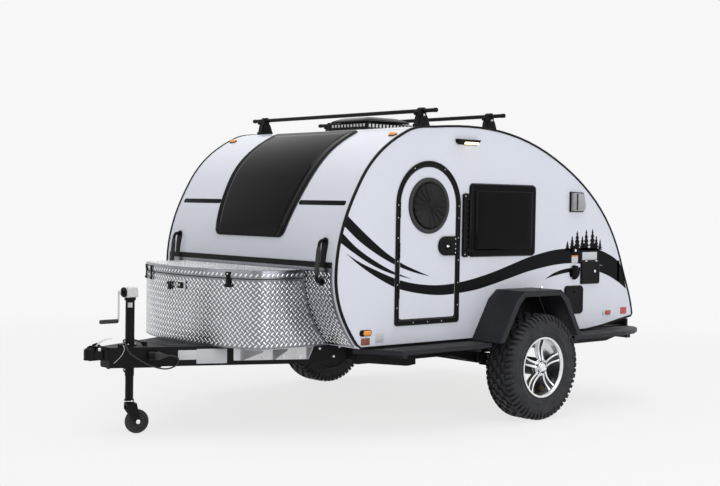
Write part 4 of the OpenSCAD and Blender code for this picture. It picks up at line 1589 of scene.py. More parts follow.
@dataclass
class Windows:
    """The front window, the side windows and the slotted rails beside them."""

    front_low: float = 1.35
    front_high: float = 3.12
    side_at: Point2 = (0.138, 1.367)
    side_size: Point2 = (0.67, 0.492)
    rail_at: Point2 = (0.507, 1.333)
    rail_size: Point2 = (0.066, 0.415)

    def build(self) -> None:
        """Makes all the windows."""
        self.front()
        self.side_panes()
        self.rails()

    def front_panel(
        self, s0: float, s1: float, margin: float, corner: float, crown: Sequence[Point2]
    ) -> Shape:
        """A curved panel on the front, wider towards its top.

        Args:
            s0: Its lower end on the outline.
            s1: Its upper end.
            margin: How far its sides are drawn in.
            corner: The radius of its corners.
            crown: Its section near an edge, as distance in and height.

        Returns:
            The panel.
        """
        spots = BODY_LINE.spots(s0, s1, 200)
        lengths = [0.0]
        for a, b in zip(spots, spots[1:]):
            lengths.append(lengths[-1] + (BODY_LINE.point(b) - BODY_LINE.point(a)).length)
        total = lengths[-1]
        near = [0.0, 0.002, 0.005, 0.01, 0.017, 0.026, 0.037, 0.05, 0.065]
        wanted = near + [
            0.065 + (total - 0.13) * k / 40 for k in range(1, 40)
        ] + [total - d for d in reversed(near)]
        rings = []
        for length in wanted:
            k = min(max(1, sum(1 for done in lengths if done < length)), len(lengths) - 1)
            s = spots[k - 1] + (length - lengths[k - 1]) / (
                lengths[k] - lengths[k - 1]
            ) * (spots[k] - spots[k - 1])
            share = (s - self.front_low) / (self.front_high - self.front_low)
            half = 0.378 + 0.082 * math.sin(
                min(1.0, share / 0.55) * math.pi / 2
            ) - 0.01 * max(0.0, share - 0.55) - margin
            end = min(length, total - length)
            if end < corner:
                half -= corner - math.sqrt(max(0.0, corner ** 2 - (corner - end) ** 2))
            rise = self.rise(crown, end)
            section = [(-half + d, min(high, rise)) for d, high in crown] + [(0.0, rise)] + [
                (half - d, min(high, rise)) for d, high in reversed(crown)
            ]
            ring = [BODY_LINE.on_skin(s, y, out) for y, out in section]
            ring += [BODY_LINE.on_skin(s, half - 0.002, 0.0004), BODY_LINE.on_skin(s, -half + 0.002, 0.0004)]
            rings.append(ring)
        return Shape().loft(rings)

    def rise(self, crown: Sequence[Point2], end: float) -> float:
        """How high a panel stands at a distance from its end.

        Args:
            crown: Its section, as distance in and height.
            end: The distance from its end.

        Returns:
            The height.
        """
        for (d0, h0), (d1, h1) in zip(crown, crown[1:]):
            if end <= d1:
                return h0 + (h1 - h0) * (end - d0) / (d1 - d0)
        return crown[-1][1]

    def front(self) -> None:
        """The front window's seal, its raised border and its pane."""
        seal = self.front_panel(
            self.front_low - 0.004, self.front_high + 0.004, -0.006, 0.05,
            [(0.0, 0.001), (0.0015, 0.005), (0.006, 0.0062), (0.03, 0.0062)]
        )
        make_piece("front_window_seal", seal, RUBBER, replaces=["front_window_frame"])
        pane = self.front_panel(
            self.front_low, self.front_high, 0.0, 0.046,
            [
                (0.0, 0.0035), (0.0022, 0.0105), (0.006, 0.0132), (0.04, 0.014), (0.046, 0.0122),
                (0.052, 0.0122), (0.058, 0.0148), (0.075, 0.0162)
            ]
        )
        make_piece("front_window_pane", pane, GLOSS, replaces=["front_window"])

    def side_panes(self) -> None:
        """The side windows: a moulded border, a step and a raised pane."""
        w, h = self.side_size
        levels = [
            (0.0, 0.0005), (0.0, 0.0085), (0.003, 0.0135), (0.008, 0.0155), (0.03, 0.0165), (0.036, 0.014),
            (0.042, 0.014), (0.047, 0.0215), (0.052, 0.0245), (0.06, 0.0258), (0.11, 0.0262),
        ]
        make_piece(
            "side_window_panes", Shape().panel((w, h), 0.03, self.side_at, levels, on_wall).both(), GLOSS,
            replaces=["side_windows"]
        )
        seal = rounded(w + 0.008, h + 0.008, 0.034, 8, self.side_at)
        make_piece(
            "side_window_seals",
            Shape().slab(
                seal, [(0.0, 0.0003), (0.0, 0.003), (0.003, 0.0042), (0.01, 0.0042)], on_wall
            ).both(),
            RUBBER
        )
        left = self.side_at[0] + w / 2
        shape = Shape()
        for z in (self.side_at[1] + 0.15, self.side_at[1] - 0.205):
            shape.slab(
                rounded(0.046, 0.022, 0.006, 4, (left + 0.012, z)),
                [(0.0, 0.0005), (0.0, 0.015), (0.002, 0.018)], on_wall
            )
        make_piece("side_window_links", shape.both(), TRIM, bevel=0.0006)

    def rails(self) -> None:
        """The rails beside the windows, with nine slots and their screws."""
        x, z = self.rail_at
        w, h = self.rail_size
        shape = Shape()
        web, rib = (0.0002, 0.012), (0.0002, 0.02)
        for side in (-1, 1):
            edge = x + side * (w / 2 - 0.005)
            shape.block(on_wall(edge - 0.005, z - h / 2, rib[0]), on_wall(edge + 0.005, z + h / 2, rib[1]))
            inner = x + side * 0.0145
            shape.block(
                on_wall(min(inner, inner + side * 0.012), z - h / 2, web[0]),
                on_wall(max(inner, inner + side * 0.012), z + h / 2, web[1])
            )
        step = 0.0385
        for k in range(10):
            mid = z + (k - 4.5) * step
            tall = 0.0135 if 0 < k < 9 else 0.048
            shift = 0.0 if 0 < k < 9 else (0.0172 if k == 9 else -0.0172)
            shape.block(
                on_wall(x - 0.0165, mid + shift - tall / 2, 0.0002),
                on_wall(x + 0.0165, mid + shift + tall / 2, 0.0124)
            )
        floor_plate = Shape().block(
            on_wall(x - 0.024, z - h / 2 + 0.004, 0.0002), on_wall(x + 0.024, z + h / 2 - 0.004, 0.0028)
        )
        screws = Shape()
        for dz in (-0.196, -0.176, 0.176, 0.196):
            screws.screw(on_wall(x + (0.012 if abs(dz) > 0.18 else -0.01), z + dz, 0.0122), (0, 1, 0), 0.0045)
        lips = Shape()
        for k in range(9):
            mid = z + (k - 4.0) * step
            outer, inner_ring = rounded(0.023, 0.026, 0.006, 4, (x, mid)), 0.0035
            lips.ring_loft(
                [
                    [on_wall(u, v, high) for u, v in inset(outer, depth)]
                    for depth, high in (
                        (0.0, 0.0118), (0.0006, 0.014), (inner_ring, 0.014), (inner_ring, 0.0118)
                    )
                ]
            )
        make_piece("rail_webs", shape.both(), TRIM, replaces=["side_rails"], bevel=0.0007)
        make_piece("rail_backs", floor_plate.both(), RUBBER, bevel=0.0005)
        make_piece("rail_slot_lips", lips.both(), GLOSS)
        make_piece("rail_screws", screws.both(), ZINC)


# ---- Stripes ----------------------------------------------------------------------------


@dataclass
class Stripes:
    """The dark vinyl bands, pines and blank plates on the side walls."""

    leaf_edges: Point2 = (0.6035, 1.1025)
    ring_edges: Point2 = (0.5585, 1.1475)
    thick: float = 0.0005
    bands: tuple[tuple[tuple[Point2, ...], tuple[Point2, ...]], ...] = (
        (
            ((1.557, 1.394), (1.412, 1.284), (1.24, 1.167), (1.093, 1.09), (0.974, 1.045), (0.833, 0.998)),
            ((1.58, 1.327), (1.453, 1.232), (1.311, 1.152), (1.152, 1.081), (0.988, 1.029), (0.833, 0.997)),
        ),
        (
            ((1.592, 1.284), (1.48, 1.196), (1.339, 1.116), (1.165, 1.038), (1.002, 0.986)),
            ((1.606, 1.223), (1.479, 1.149), (1.338, 1.079), (1.179, 1.023), (1.002, 0.985)),
        ),
        (
            (
                (1.558, 1.156), (1.45, 1.102), (1.309, 1.047), (1.15, 0.993), (1.016, 0.961), (0.865, 0.942),
                (0.727, 0.937), (0.569, 0.948), (0.392, 0.975), (0.21, 1.014), (0.04, 1.059), (-0.134, 1.105),
                (-0.313, 1.14), (-0.442, 1.157), (-0.545, 1.163), (-0.7, 1.168), (-0.85, 1.165),
                (-0.95, 1.148),
                (-1.049, 1.118), (-1.111, 1.094), (-1.165, 1.066),
            ),
            (
                (1.558, 1.155), (1.449, 1.081), (1.308, 1.005), (1.148, 0.936), (1.015, 0.902),
                (0.849, 0.878),
                (0.709, 0.87), (0.567, 0.877), (0.389, 0.895), (0.207, 0.93), (0.037, 0.968), (-0.137, 1.006),
                (-0.317, 1.034), (-0.445, 1.049), (-0.596, 1.056), (-0.719, 1.05), (-0.83, 1.026),
                (-0.933, 0.99),
                (-1.02, 0.965), (-1.09, 0.941), (-1.19, 0.898),
            ),
        ),
        (
            ((-1.165, 1.066), (-1.19, 1.046), (-1.215, 1.02), (-1.25, 0.94), (-1.277, 0.858)),
            ((-1.166, 0.909), (-1.19, 0.897), (-1.215, 0.884), (-1.25, 0.864), (-1.277, 0.848)),
        ),
        (
            ((-0.327, 0.948), (-0.421, 0.988), (-0.548, 1.016), (-0.72, 1.026)),
            ((-0.327, 0.947), (-0.422, 0.967), (-0.582, 0.989), (-0.72, 0.993)),
        ),
    )
    slit: tuple[Point2, ...] = (
        (-0.925, 1.045), (-0.955, 1.038), (-0.99, 1.028), (-0.96, 1.034), (-0.928, 1.039)
    )
    pines: tuple[tuple[float, float, float], ...] = (
        (-0.568, 1.221, 0.03), (-0.622, 1.259, 0.036), (-0.679, 1.298, 0.044), (-0.739, 1.259, 0.036),
        (-0.784, 1.308, 0.042), (-0.857, 1.312, 0.046), (-0.903, 1.262, 0.034), (-0.949, 1.232, 0.028),
    )

    def build(self) -> None:
        """Lays the vinyl on both walls and both doors."""
        wall, leaf = Shape(), Shape()
        for upper, lower in self.bands:
            xs = [p[0] for p in (*upper, *lower)]
            for low, high, shape in (
                (min(xs), self.ring_edges[0], wall), (*self.leaf_edges, leaf),
                (self.ring_edges[1], max(xs), wall),
            ):
                self.strip(shape, upper, lower, low, high)
        for x, top, half in self.pines:
            self.pine(wall, x, top, half)
        make_piece("wall_stripes", wall.both(), DECAL, sharp=60)
        make_piece("door_stripe_left", leaf, DECAL, "door_left", sharp=60)
        make_piece("door_stripe_right", leaf.mirrored(), DECAL, "door_right", sharp=60)
        make_piece(
            "wall_slits", Shape().slab(self.slit[::-1], [(0.0, 0.0004), (0.0, 0.0009)], on_wall).both(),
            PLATE_WHITE
        )
        self.plates()

    def edge(self, knots: Sequence[Point2], xs: Sequence[float]) -> list[float]:
        """The heights of a smooth edge at places along the wall.

        Args:
            knots: The edge's knots.
            xs: The places, ahead of the axle.

        Returns:
            The heights, one for each place.
        """
        line = smooth_line(knots, 10)
        heights = []
        for x in xs:
            k = min(max(1, sum(1 for p in line if p[0] > x)), len(line) - 1)
            (x0, z0), (x1, z1) = line[k - 1], line[k]
            share = min(1.0, max(0.0, (x - x0) / (x1 - x0))) if x1 != x0 else 0.0
            heights.append(z0 + share * (z1 - z0))
        return heights

    def strip(
        self, shape: Shape, upper: Sequence[Point2], lower: Sequence[Point2], low: float, high: float
    ) -> None:
        """A run of a band between two places along the wall.

        Args:
            shape: The shape it is added to.
            upper: The knots of its upper edge, front to rear.
            lower: The knots of its lower edge.
            low: Its rear end.
            high: Its front end.
        """
        front = max(p[0] for p in upper)
        foot = max(p[0] for p in lower)
        high, low = min(high, max(front, foot)), max(low, min(p[0] for p in (*upper, *lower)))
        if high - low < 0.01:
            return
        count = max(3, math.ceil((high - low) / 0.016))
        xs = [high + (low - high) * k / count for k in range(count + 1)]
        tops, feet = self.edge(upper, xs), self.edge(lower, xs)
        rings = []
        for k, x in enumerate(xs):
            top_x = min(x, front)
            top, low_z = tops[k], min(feet[k], tops[k] - 0.0006)
            rings.append(
                [(ahead(x), WALL_Y + out, low_z) for out in (0.0001, self.thick)] + [
                    (ahead(top_x), WALL_Y + out, top) for out in (self.thick, 0.0001)
                ]
            )
        shape.loft(rings)

    def pine(self, shape: Shape, x: float, top: float, half: float) -> None:
        """A pine with ragged tiers.

        Args:
            shape: The shape it is added to.
            x: Its trunk's place.
            top: Its tip's height.
            half: Half of its width at the foot.
        """
        foot = 1.15
        tiers = 5
        right, left = [], []
        for k in range(tiers):
            z0 = foot + (top - foot) * k / tiers
            z1 = foot + (top - foot) * (k + 0.82) / tiers
            w0 = half * (1 - k / tiers) ** 0.8
            w1 = half * (1 - (k + 0.9) / tiers) ** 0.8 * 0.55
            right += [(x + w0, z0), (x + w1, z1)]
            left += [(x - w0, z0), (x - w1, z1)]
        outline = right + [(x, top)] + left[::-1]
        rings = [[on_wall(u, v, out) for u, v in outline] for out in (0.0001, self.thick)]
        shape.loft(rings)

    def plates(self) -> None:
        """Blank plates on the wall and by the services."""
        white, band = Shape(), Shape()
        profile = [(0.0, 0.0002), (0.0, 0.001), (0.0004, 0.0012)]
        for w, h, at in (
            (0.072, 0.046, (-0.655, 1.08)), (0.172, 0.058, (-0.828, 1.106)), (0.07, 0.06, (1.27, 0.618))
        ):
            white.slab(rounded(w, h, 0.004, 3, at), profile, on_wall)
        band.slab(rounded(0.072, 0.009, 0.002, 2, (-0.655, 1.108)), profile, on_wall)
        make_piece("blank_plates", white, PLATE_WHITE)
        make_piece("blank_bands", band, PLATE_ORANGE)


# ---- Side fittings ----------------------------------------------------------------------


@dataclass
class SideFittings:
    """The hatches, ports, lamps and reflectors on the side walls."""

    utility_at: Point2 = (-0.831, 0.986)
    utility_size: Point2 = (0.212, 0.168)
    shower_at: Point2 = (-0.646, 0.786)
    shower_size: Point2 = (0.205, 0.202)

    def build(self) -> None:
        """Makes the fittings."""
        self.hatches()
        self.ports()
        self.rear_lamps()
        self.porch_lights()
        self.markers()

    def leaf(self, size: Point2, radius: float, at: Point2) -> Shape:
        """A hatch's leaf with a rolled edge and a shallow panel.

        Args:
            size: Its width and height.
            radius: The radius of its corners.
            at: Its middle.

        Returns:
            The leaf's shape.
        """
        return Shape().panel(
            size, radius, at,
            [
                (0.0, 0.0052), (0.0, 0.0105), (0.003, 0.0138), (0.0075, 0.015), (0.016, 0.0146),
                (0.019, 0.0122), (0.023, 0.012)
            ],
            on_wall,
        )

    def frame(self, size: Point2, radius: float, at: Point2) -> Shape:
        """The frame that a hatch's leaf shuts on.

        Args:
            size: The leaf's width and height.
            radius: The radius of the leaf's corners.
            at: The leaf's middle.

        Returns:
            The frame's shape.
        """
        outline = rounded(size[0] + 0.008, size[1] + 0.008, radius + 0.004, 7, at)
        section = ((0.0, 0.0003), (0.0, 0.003), (0.0012, 0.0042), (0.017, 0.0042), (0.017, 0.0003))
        return Shape().ring_loft(
            [[on_wall(u, v, high) for u, v in inset(outline, depth)] for depth, high in section]
        )

    def hatches(self) -> None:
        """The lockable hatch and the low rounded one, with frames and locks."""
        for name, at, size, radius in (
            ("utility", self.utility_at, self.utility_size, 0.01),
            ("shower", self.shower_at, self.shower_size, 0.026),
        ):
            body = f"{name}_hatch"
            make_piece(f"{name}_leaf", self.leaf(size, radius, at), TRIM, body, [f"{name}_hatch"])
            make_piece(f"{name}_frame", self.frame(size, radius, at), RUBBER)
            # The right-hand wall has the same two cut-outs and no hatches, so fixed covers close them
            make_piece(f"{name}_cover_right", self.leaf(size, radius, at).mirrored(), TRIM)
            make_piece(f"{name}_cover_frame_right", self.frame(size, radius, at).mirrored(), RUBBER)
        lock = Shape().turned(
            [(0.0105, 0.012), (0.0105, 0.015), (0.009, 0.0165), (0.003, 0.0165), (0.0026, 0.015)],
            (ahead(-0.878), WALL_Y, 0.992), (0, 1, 0), 28
        )
        for dx in (-0.06, 0.06):
            lock.turned(
                [(0.0045, 0.0), (0.005, 0.0008), (0.005, 0.0192), (0.0045, 0.02)],
                (ahead(self.utility_at[0] + dx - 0.01), WALL_Y + 0.0135, 1.069), (1, 0, 0), 16
            )
        make_piece("utility_lock", lock, CHROME, "utility_hatch")
        knob = Shape().turned(
            [(0.008, 0.0118), (0.008, 0.016), (0.0065, 0.018), (0.0, 0.0182)],
            (ahead(-0.646), WALL_Y, 0.846), (0, 1, 0), 24
        )
        make_piece("shower_knob", knob, GLOSS, "shower_hatch")

    def ports(self) -> None:
        """The round power inlet with its flap, and the oval tap under the plate."""
        at = (ahead(-0.65), WALL_Y, 0.988)
        shape = Shape().turned(
            [
                (0.053, 0.0003), (0.053, 0.007), (0.05, 0.01), (0.044, 0.0108), (0.044, 0.019),
                (0.041, 0.0225), (0.03, 0.0245), (0.0, 0.0252)
            ],
            at, (0, 1, 0), 56
        )
        shape.slab(
            rounded(0.044, 0.016, 0.006, 4, (-0.65, 1.03)), [(0.0, 0.009), (0.0, 0.0215), (0.002, 0.0235)],
            on_wall
        )
        shape.slab(
            rounded(0.03, 0.012, 0.005, 4, (-0.65, 0.95)), [(0.0, 0.009), (0.0, 0.023), (0.002, 0.025)],
            on_wall
        )
        oval = rounded(0.076, 0.064, 0.03, 8, (-0.652, 1.149))
        shape.slab(
            oval,
            [
                (0.0, 0.0004), (0.0, 0.0055), (0.0022, 0.0082), (0.012, 0.0092), (0.014, 0.007),
                (0.016, 0.007)
            ],
            on_wall
        )
        bright = Shape().turned(
            [(0.0105, 0.0066), (0.0105, 0.0105), (0.009, 0.012), (0.005, 0.012), (0.0045, 0.0095)],
            (ahead(-0.652), WALL_Y, 1.149), (0, 1, 0), 24
        )
        for du, dv in ((0.036, 0.036), (-0.036, 0.036), (0.036, -0.036), (-0.036, -0.036)):
            bright.screw(on_wall(-0.65 + du, 0.988 + dv, 0.0095), (0, 1, 0), 0.003)
        make_piece("service_caps", shape, GLOSS, replaces=["service_ports"])
        make_piece("service_bright", bright, CHROME)

    def rear_lamps(self) -> None:
        """Wedge-shaped lamps high on each side: a dark back, a smoked lens and a bright edge."""
        outline = [
            (-0.58, 1.431), (-0.58, 1.579), (-0.728, 1.575), (-0.752, 1.5), (-0.756, 1.455), (-0.728, 1.431)
        ]
        outline = anticlockwise(outline)
        back = Shape().slab(outline, [(0.0, 0.0004), (0.0, 0.01), (0.003, 0.013), (0.006, 0.013)], on_wall)

        def tilted(u: float, v: float, high: float) -> Point3:
            """A place on the lens, which stands out more towards the front."""
            return on_wall(u, v, 0.011 + high * (0.35 + 0.65 * (u + 0.756) / 0.176))

        lens = Shape().slab(
            inset(outline, 0.008),
            [(0.0, 0.0), (0.0, 0.022), (0.004, 0.028), (0.012, 0.031), (0.03, 0.032)], tilted
        )
        bar = Shape().slab(
            rounded(0.018, 0.12, 0.006, 4, (-0.628, 1.505)), [(0.0, 0.024), (0.0, 0.0335), (0.002, 0.0345)],
            tilted
        )
        make_piece("rear_lamp_backs", back.both(), TRIM, bevel=0.0008)
        make_piece("rear_lamp_lenses", lens.both(), CLEAR_LENS, sharp=50)
        make_piece("rear_lamp_bars", bar.both(), TRIM, bevel=0.0008)

    def porch_lights(self) -> None:
        """A visor over each door's rear with a lit lens under it."""
        foot, rise = 1.872, 0.036
        outline = [(0.402, 1.88), (0.418, foot), (0.592, foot), (0.612, 1.884), (0.619, 1.908), (0.4, 1.908)]
        outline = anticlockwise(outline)

        def visor(u: float, v: float, high: float) -> Point3:
            """A place on the visor, which stands out most at its top."""
            return on_wall(u, v, high * (0.3 + 0.7 * (v - foot) / rise))

        shape = Shape().slab(outline, [(0.0, 0.0004), (0.0, 0.03), (0.003, 0.036), (0.008, 0.039)], visor)
        lens = Shape().block(on_wall(0.414, 1.8752, 0.0085), on_wall(0.548, 1.8935, 0.0262))
        make_piece("porch_visors", shape.both(), TRIM, replaces=["porch_lights"], bevel=0.0012)
        make_piece("porch_lenses", lens.both(), WARM_LENS, bevel=0.003)

    def markers(self) -> None:
        """The oval clearance lamps, the square reflectors and the lamps over the front."""
        for name, x, z, tint in (("amber", 1.39, 0.654, AMBER), ("red", -1.044, 0.676, RED)):
            base = Shape().slab(
                rounded(0.1, 0.04, 0.0185, 9, (x, z)),
                [(0.0, 0.0003), (0.0, 0.004), (0.0015, 0.0052), (0.004, 0.0052)], on_wall
            )
            base.slab(
                rounded(0.016, 0.022, 0.005, 4, (x + 0.038, z)),
                [(0.0, 0.0045), (0.0, 0.0075), (0.002, 0.009)], on_wall
            )
            dome = Shape().slab(
                rounded(0.064, 0.032, 0.015, 9, (x - 0.01, z)),
                [(0.0, 0.0045), (0.0, 0.0085), (0.0025, 0.0118), (0.007, 0.0136), (0.011, 0.014)], on_wall
            )
            make_piece(f"{name}_bases", base.both(), VENT_PLASTIC if name == "red" else TRIM)
            make_piece(
                f"{name}_domes", dome.both(), tint, replaces=["marker_lights"] if name == "amber" else ()
            )
        for name, w, h, at, tint in (
            ("front_reflectors", 0.07, 0.044, (1.391, 0.6), BROWN_LENS),
            # The rear reflectors take the red lens with its faint glow, though no lamp is in them: a painted
            # glow.
            ("rear_reflectors", 0.07, 0.05, (-1.25, 0.682), RED),
        ):
            make_piece(
                name,
                Shape().slab(
                    rounded(w, h, 0.004, 3, at),
                    [(0.0, 0.0003), (0.0, 0.0045), (0.0015, 0.0058), (0.004, 0.006)], on_wall
                ).both(),
                tint
            )
        lamps = Shape().slab(
            rounded(0.058, 0.03, 0.014, 7, (0.879, 0.0)),
            [(0.0, 0.0045), (0.0, 0.01), (0.004, 0.016), (0.009, 0.0185)],
            lambda u, v, out: BODY_LINE.on_skin(2.885 + v / 0.52, u, out),
        )
        feet = Shape().slab(
            rounded(0.068, 0.038, 0.018, 7, (0.879, 0.0)), [(0.0, 0.0006), (0.0, 0.004), (0.0015, 0.0055)],
            lambda u, v, out: BODY_LINE.on_skin(2.885 + v / 0.52, u, out),
        )
        make_piece("roof_lamp_domes", lamps.both(), AMBER)
        make_piece("roof_lamp_feet", feet.both(), TRIM)


# ---- Roof -------------------------------------------------------------------------------


@dataclass
class Roof:
    """The load bars on their feet, and the vent."""

    bars: Point2 = (0.839, 0.187)
    bar_z: float = 2.085
    bar_r: float = 0.015
    half: float = 0.996

    def build(self) -> None:
        """Makes the bars, the feet and the vent."""
        bars, feet, bolts = Shape(), Shape(), Shape()
        for x in self.bars:
            profile = [
                (0.0145, -self.half), (self.bar_r, -self.half + 0.002), (self.bar_r, -self.half + 0.022),
                (0.0136, -self.half + 0.0225), (0.0136, self.half - 0.0225),
                (self.bar_r, self.half - 0.022), (self.bar_r, self.half - 0.002), (0.0145, self.half)
            ]
            bars.turned(profile, (ahead(x), 0, self.bar_z), (0, 1, 0), 32)
            self.foot(feet, bolts, x)
        make_piece("load_bars", bars, TRIM, replaces=["roof_bars"], bevel=0.0006)
        make_piece("bar_towers", feet.both(), TRIM, replaces=["rack_feet"], bevel=0.0022)
        make_piece("bar_tower_bolts", bolts.both(), ZINC)
        self.vent()

    def foot(self, shape: Shape, bolts: Shape, x: float) -> None:
        """A tower foot: a base pad, a waisted tower, a clamp and its knob.

        Args:
            shape: The shape it is added to.
            bolts: The shape that its bolts are added to.
            x: The bar's place.
        """
        low = min(self.roof_height(x - 0.055), self.roof_height(x + 0.058))
        z0 = low + 0.001
        tower = [
            (x - 0.056, z0), (x + 0.06, z0), (x + 0.06, z0 + 0.016), (x + 0.05, z0 + 0.022),
            (x + 0.04, self.bar_z - 0.04),
            (x + 0.026, self.bar_z - 0.02), (x + 0.022, self.bar_z + 0.012),
            (x + 0.012, self.bar_z + 0.0215), (x - 0.012, self.bar_z + 0.0215),
            (x - 0.022, self.bar_z + 0.012), (x - 0.024, self.bar_z - 0.024),
            (x - 0.036, self.bar_z - 0.04), (x - 0.05, z0 + 0.03), (x - 0.056, z0 + 0.018),
        ]
        for y0, y1, grow in ((0.832, 0.878, 0.0), (0.8255, 0.833, -0.006), (0.877, 0.8845, -0.006)):
            rings = [[(ahead(u), y, v) for u, v in inset(tower, -grow)] for y in (y0, y1)]
            shape.loft(rings[::-1])
        for k in range(3):
            z = z0 + 0.034 + 0.013 * k
            shape.block((ahead(x - 0.02), 0.8835, z), (ahead(x + 0.024), 0.8875, z + 0.006))
        shape.turned(
            [(0.013, 0.0), (0.014, 0.002), (0.014, 0.016), (0.011, 0.019), (0.0, 0.02)],
            (ahead(x + 0.046), 0.855, self.bar_z - 0.022), (1, 0, 0.25), 18
        )
        bolts.bolt((ahead(x - 0.03), 0.855, self.bar_z - 0.014), (-0.5, 0, 0.86), 0.006, 0.006)
        bolts.bolt((ahead(x + 0.004), 0.8848, self.bar_z - 0.028), (0, 1, 0), 0.0055, 0.005)
        bolts.bolt((ahead(x + 0.004), 0.8848, self.bar_z), (0, 1, 0), 0.005, 0.004)

    def roof_height(self, x: float) -> float:
        """The roof's height at a place ahead of the axle."""
        best = min(BODY_LINE.spots(3.0, 4.9, 60), key=lambda s: abs(BODY_LINE.point(s).x - x))
        return BODY_LINE.point(best).y

    def vent(self) -> None:
        """The roof vent: a dark base, pale louvres and a domed smoked lid."""
        dress("vent_base", TRIM, 0.003)
        low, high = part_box("vent_lid")
        cx, hx, hy = (low.x + high.x) / 2, (high.x - low.x) / 2, high.y
        z0, z1 = low.z, high.z
        rings = []
        for grow, z in (
            (0.0, z0), (0.0, z0 + 0.01), (0.006, z0 + 0.016), (0.03, z0 + 0.026), (0.06, z0 + 0.036),
            (0.085, z1 - 0.0015), (0.12, z1)
        ):
            rings.append(
                [
                    (cx + u, v, z)
                    for u, v in rounded(
                        2 * (hx - grow), 2 * (hy - grow * 0.8), max(0.02, 0.045 - grow * 0.2), 6
                    )
                ]
            )
        lid = Shape().loft(rings)
        for y in (-0.1, 0.0, 0.1):
            lid.slab(
                rounded(0.23, 0.014, 0.006, 4, (0.0, y)),
                [(0.0, z1 - 0.006), (0.0, z1 - 0.001), (0.002, z1)], lambda u, v, z: (cx - 0.01 + u, v, z)
            )
        make_piece("vent_dome", lid, GLOSS, "vent_lid", ["vent_lid"])
        ribs = Shape()
        for k in range(12):
            x = cx - 0.185 + 0.034 * k
            ribs.block((x, 0.2175, 2.006), (x + 0.018, 0.2195, 2.03))
            ribs.block((x, -0.2195, 2.006), (x + 0.018, -0.2175, 2.03))
        for k in range(11):
            y = -0.17 + 0.034 * k
            ribs.block((cx + 0.2175, y, 2.012), (cx + 0.2195, y + 0.018, 2.032))
        make_piece("vent_louvres", ribs, VENT_PLASTIC, bevel=0.0008)


# ---- Storage box ------------------------------------------------------------------------


